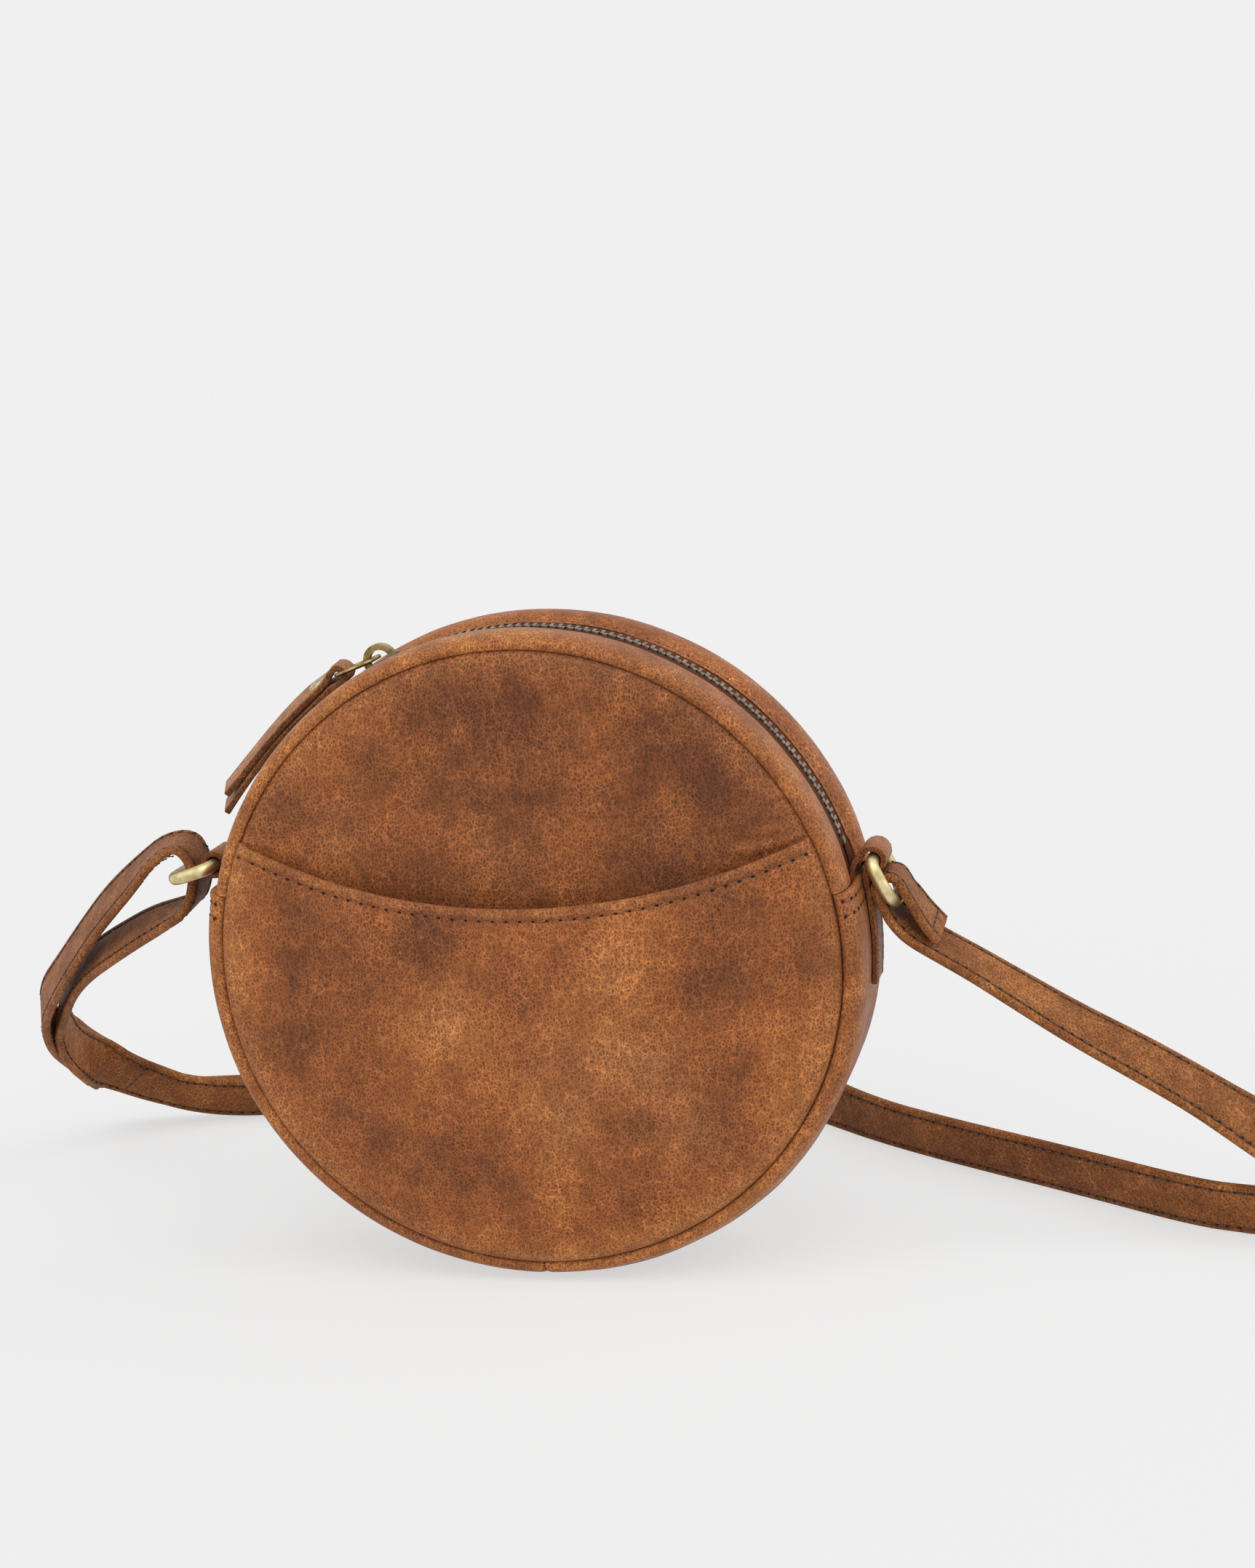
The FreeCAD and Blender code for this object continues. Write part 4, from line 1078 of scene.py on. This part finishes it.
def row_on(obj, starts, way, sink=0.0):
    """Spots where rays from a line of places meet a piece, each headed to the next."""
    spots = []
    for here, there in zip(starts, starts[1:]):
        hit, place, normal, _ = obj.ray_cast(Vector(here) * MM, Vector(way(here)).normalized())
        if hit:
            spots.append((place - normal * sink * MM, Vector(there) - Vector(here), normal))
    return spots


def inward(place):
    return Vector((-place[0], 0, centre_z - place[2]))


# %% Stitching on the body
bpy.context.view_layer.update()
outside = 130
body_rows = []

sweep = mouth_radius + mouth_row
turns = [math.radians(-90) + i * mouth_pitch / sweep for i in range(-22, 24)]
mouth_line = [(sweep * math.cos(t), -80, mouth_low + mouth_radius + sweep * math.sin(t)) for t in turns]
body_rows.append(("pocket_mouth_stitches", mouth_stitch, row_on(pocket, mouth_line, lambda p: (0, 1, 0))))

for name, side in sides:
    spots = []
    for down in lap_rows:
        turn = lap_angle - math.degrees(down / low_crown)
        for face in (-1, 1):
            starts = [polar(outside, turn, face * y) for y in (8.8, 12.9, 17.0, 21.1, 24.6, 25.6)]
            spots += row_on(gusset[name], [Vector((p.x * side, p.y, p.z)) for p in starts], inward)
    body_rows.append(("lap_stitches_" + name, lap_stitch, spots))

for name, side in faces:
    starts = [polar(outside, 19 + i * math.degrees(small_pitch / 99), side * 9.2) for i in range(73)]
    body_rows.append(("zip_stitches_" + name, small_stitch, row_on(gusset[name], starts, inward)))

for name, side in sides:
    spots = []
    for y in (-5.6, 5.6):
        starts = [polar(outside, angle, y) for angle in (-5.6, -3.6, -1.6, 0.4, 2.4, 4.4, 6.4, 8.4, 10.4)]
        spots += row_on(tabs[name], [Vector((p.x * side, p.y, p.z)) for p in starts], inward, 0.05)
    body_rows.append(("tab_stitches_" + name, small_stitch, spots))

for name, model, spots in body_rows:
    dress(stitch_row(name, model, spots), "bag", None, "body_leather")

# %% Stitching on the strap
# Height of the rows over the strap's middle, and rows across it on the frame of a given number
edge_row, cross_row = 1.33, 1.45
cross_frames = {"strap_right": 4, "strap_inner_tail": 1}


def strap_rows(frames, cross=None):
    """Spots along both edges of both faces of a strap piece, and on one frame across it."""
    spots = []
    if cross is not None:
        place, _, across, face = frames[cross]
        spots = [(place + (across * u + face * side * cross_row) * MM, across, face * side)
                 for side in (-1, 1) for u in (-4.8, -1.6, 1.6, 4.8)]
    travelled = 0.0
    for (place, heading, across, face), nearby in zip(frames, frames[1:]):
        travelled += (nearby[0] - place).length / MM
        if travelled >= strap_pitch:
            travelled -= strap_pitch
            spots += [(place + (across * edge + face * side * edge_row) * MM, heading, face * side)
                      for side in (-1, 1) for edge in (-furrow, furrow)]
    return spots


for name, frames in strap_lines.items():
    row = stitch_row(name + "_stitches", strap_stitch, strap_rows(frames, cross_frames.get(name)))
    follow(row, name)

for model in (mouth_stitch, lap_stitch, small_stitch, strap_stitch):
    bpy.data.objects.remove(model)

# %% [markdown]
# ## Metal
# The rings, the slide and the puller's link are antique brass: plated, darkened and rubbed bright again
# on the high places. The teeth and the slider are duller and greyer. These nodes keep the shapes that the
# frame brings and only get their finish.

# %% Metal finishes
def worn_metal(name, dark, bright, rough, tarnish_mm):
    """Plated metal with a cloudy tarnish: colour and polish both follow it."""
    material, tree, shader = new_material(name)
    here = add(tree, "TexCoord").outputs["Object"]
    tarnish = add(tree, "TexNoise", Vector=here, Scale=1000 / tarnish_mm, Detail=4.0, Roughness=0.6)
    colour = add(tree, "ValToRGB", stops=[(0.3, dark), (0.62, bright)], Fac=tarnish)
    polish = add(tree, "MapRange", Value=tarnish, From_Min=0.3, From_Max=0.7, To_Min=rough + 0.12,
                 To_Max=rough)
    wire(tree, shader, Base_Color=colour, Roughness=polish, Metallic=1.0)
    return material


ring_brass = worn_metal("brushed_antique_brass", "#a8925a", "#e4d6a8", 0.36, 6)
dark_brass = worn_metal("aged_brass_wire", "#5c4a2a", "#b39d68", 0.28, 3)
slider_nickel = worn_metal("smoked_nickel", "#4c4e50", "#8b8d8e", 0.25, 4)
tooth_metal = worn_metal("oxidised_brass_teeth", "#5a4c3e", "#a09281", 0.4, 2)
rivet_metal = worn_metal("worn_nickel_brass", "#8a7c5e", "#cfc4a4", 0.3, 2)
finishes = {"d_ring_right": ring_brass, "d_ring_left": ring_brass, "strap_adjuster": ring_brass,
            "slider_bridge": dark_brass, "puller_link": dark_brass, "zip_slider_body": slider_nickel,
            "zipper_teeth_front": tooth_metal, "zipper_teeth_back": tooth_metal,
            "zipper_bottom_stop": tooth_metal, "zipper_top_stops": tooth_metal}
for node, finish in finishes.items():
    set_material(bpy.data.objects[node], finish)
print("finished", len(finishes), "metal nodes")

# %% Rivet
rivet_along, cap_radius, cap_lift, pin_radius, pin_length = 8, 3.1, 2.25, 1.15, 4.6
rivet_spot, askew = on_pull(rivet_along, 0), pull_twist(rivet_along)
plumb, across = (on_pull(rivet_along, 1) - rivet_spot).normalized(), Vector((0, 1, 0))
rivet_way = plumb * math.cos(askew) - across * math.sin(askew)
rivet_side = across * math.cos(askew) + plumb * math.sin(askew)
deselect()
caps = []
for lift in (-cap_lift, cap_lift):
    bpy.ops.mesh.primitive_uv_sphere_add(segments=32, ring_count=16, radius=cap_radius * MM)
    caps.append(bpy.context.object)
    mode("EDIT")
    bpy.ops.transform.resize(value=(1, 1, 0.3))
    bpy.ops.transform.translate(value=(0, 0, lift * MM))
    mode("OBJECT")
bpy.ops.mesh.primitive_cylinder_add(vertices=24, radius=pin_radius * MM, depth=pin_length * MM)
for cap in caps:
    cap.select_set(True)
bpy.ops.object.join()
rivet = bpy.context.object
rivet.name = "pull_rivet"
rivet.matrix_world = set_at(rivet_spot * MM, rivet_way.cross(rivet_side), rivet_side, rivet_way)
bpy.ops.object.transform_apply(location=True, rotation=True, scale=True)
smooth()
dress(rivet, "leather_pull", "pull_tab_rivet", "antique_brass", rivet_metal)

# %% [markdown]
# ## Studio
# The bag stands on a pale floor that runs into a pale backdrop, with hardly any shadow. The floor is
# matt paper. Of what the camera and the metal see of it, seven tenths is the backdrop's even grey and
# the rest is lit paper, so the shadow stays but is faint. The lamps are suns with a large disc.

# %% Floor and backdrop
backdrop_grey, even_share, ambient_light = hex_colour("#f0f0f0"), 0.7, 0.4


def background_rays(tree):
    """1 for rays from the camera, off a shiny piece or through a clear one."""
    rays, larger = add(tree, "LightPath").outputs, {"operation": "MAXIMUM"}
    mirrored = add(tree, "Math", larger, i0=rays["Is Glossy Ray"], i1=rays["Is Transmission Ray"])
    return add(tree, "Math", larger, i0=rays["Is Camera Ray"], i1=mirrored)


deselect()
bpy.ops.mesh.primitive_grid_add(x_subdivisions=4, y_subdivisions=4, size=60)
floor = bpy.context.object
floor.name = "studio_floor"
paper, tree, shader = new_material("floor_paper")
wire(tree, shader, Base_Color=hex_colour("#ececec"), Roughness=1.0, Specular_IOR_Level=0.0)
even = add(tree, "Emission", Color=backdrop_grey, Strength=1.0)
share = add(tree, "Math", multiply, i0=background_rays(tree), i1=even_share)
mixed = add(tree, "MixShader", Fac=share, i1=shader, i2=even)
wire(tree, tree.nodes["Material Output"], Surface=mixed)
set_material(floor, paper)

world = bpy.data.worlds.new("studio")
bpy.context.scene.world = world
world.use_nodes = True
tree = world.node_tree
tree.nodes.clear()
backdrop = add(tree, "Background", Color=backdrop_grey, Strength=1.0)
ambient = add(tree, "Background", Color=hex_colour("#ffffff"), Strength=ambient_light)
either = add(tree, "MixShader", Fac=background_rays(tree), i1=ambient, i2=backdrop)
add(tree, "OutputWorld", Surface=either)
print("floor and backdrop share", even_share, "of", [round(c, 3) for c in backdrop_grey])


# %% Lamps
def sun(name, strength, disc, turn, rise):
    """Broad soft lamp that shines from a direction."""
    bpy.ops.object.light_add(type="SUN")
    lamp = bpy.context.object
    lamp.name = name
    lamp.data.energy = strength
    lamp.data.angle = math.radians(disc)
    to_lamp = direction(math.radians(turn), math.radians(rise))
    lamp.rotation_euler = to_lamp.to_track_quat("Z", "Y").to_euler()


sun("key_light", 1.35, 60, 15, 58)
sun("front_fill", 0.8, 90, -25, 25)
sun("side_light", 0.8, 60, 95, 38)

bpy.context.scene.view_settings.view_transform = "Standard"
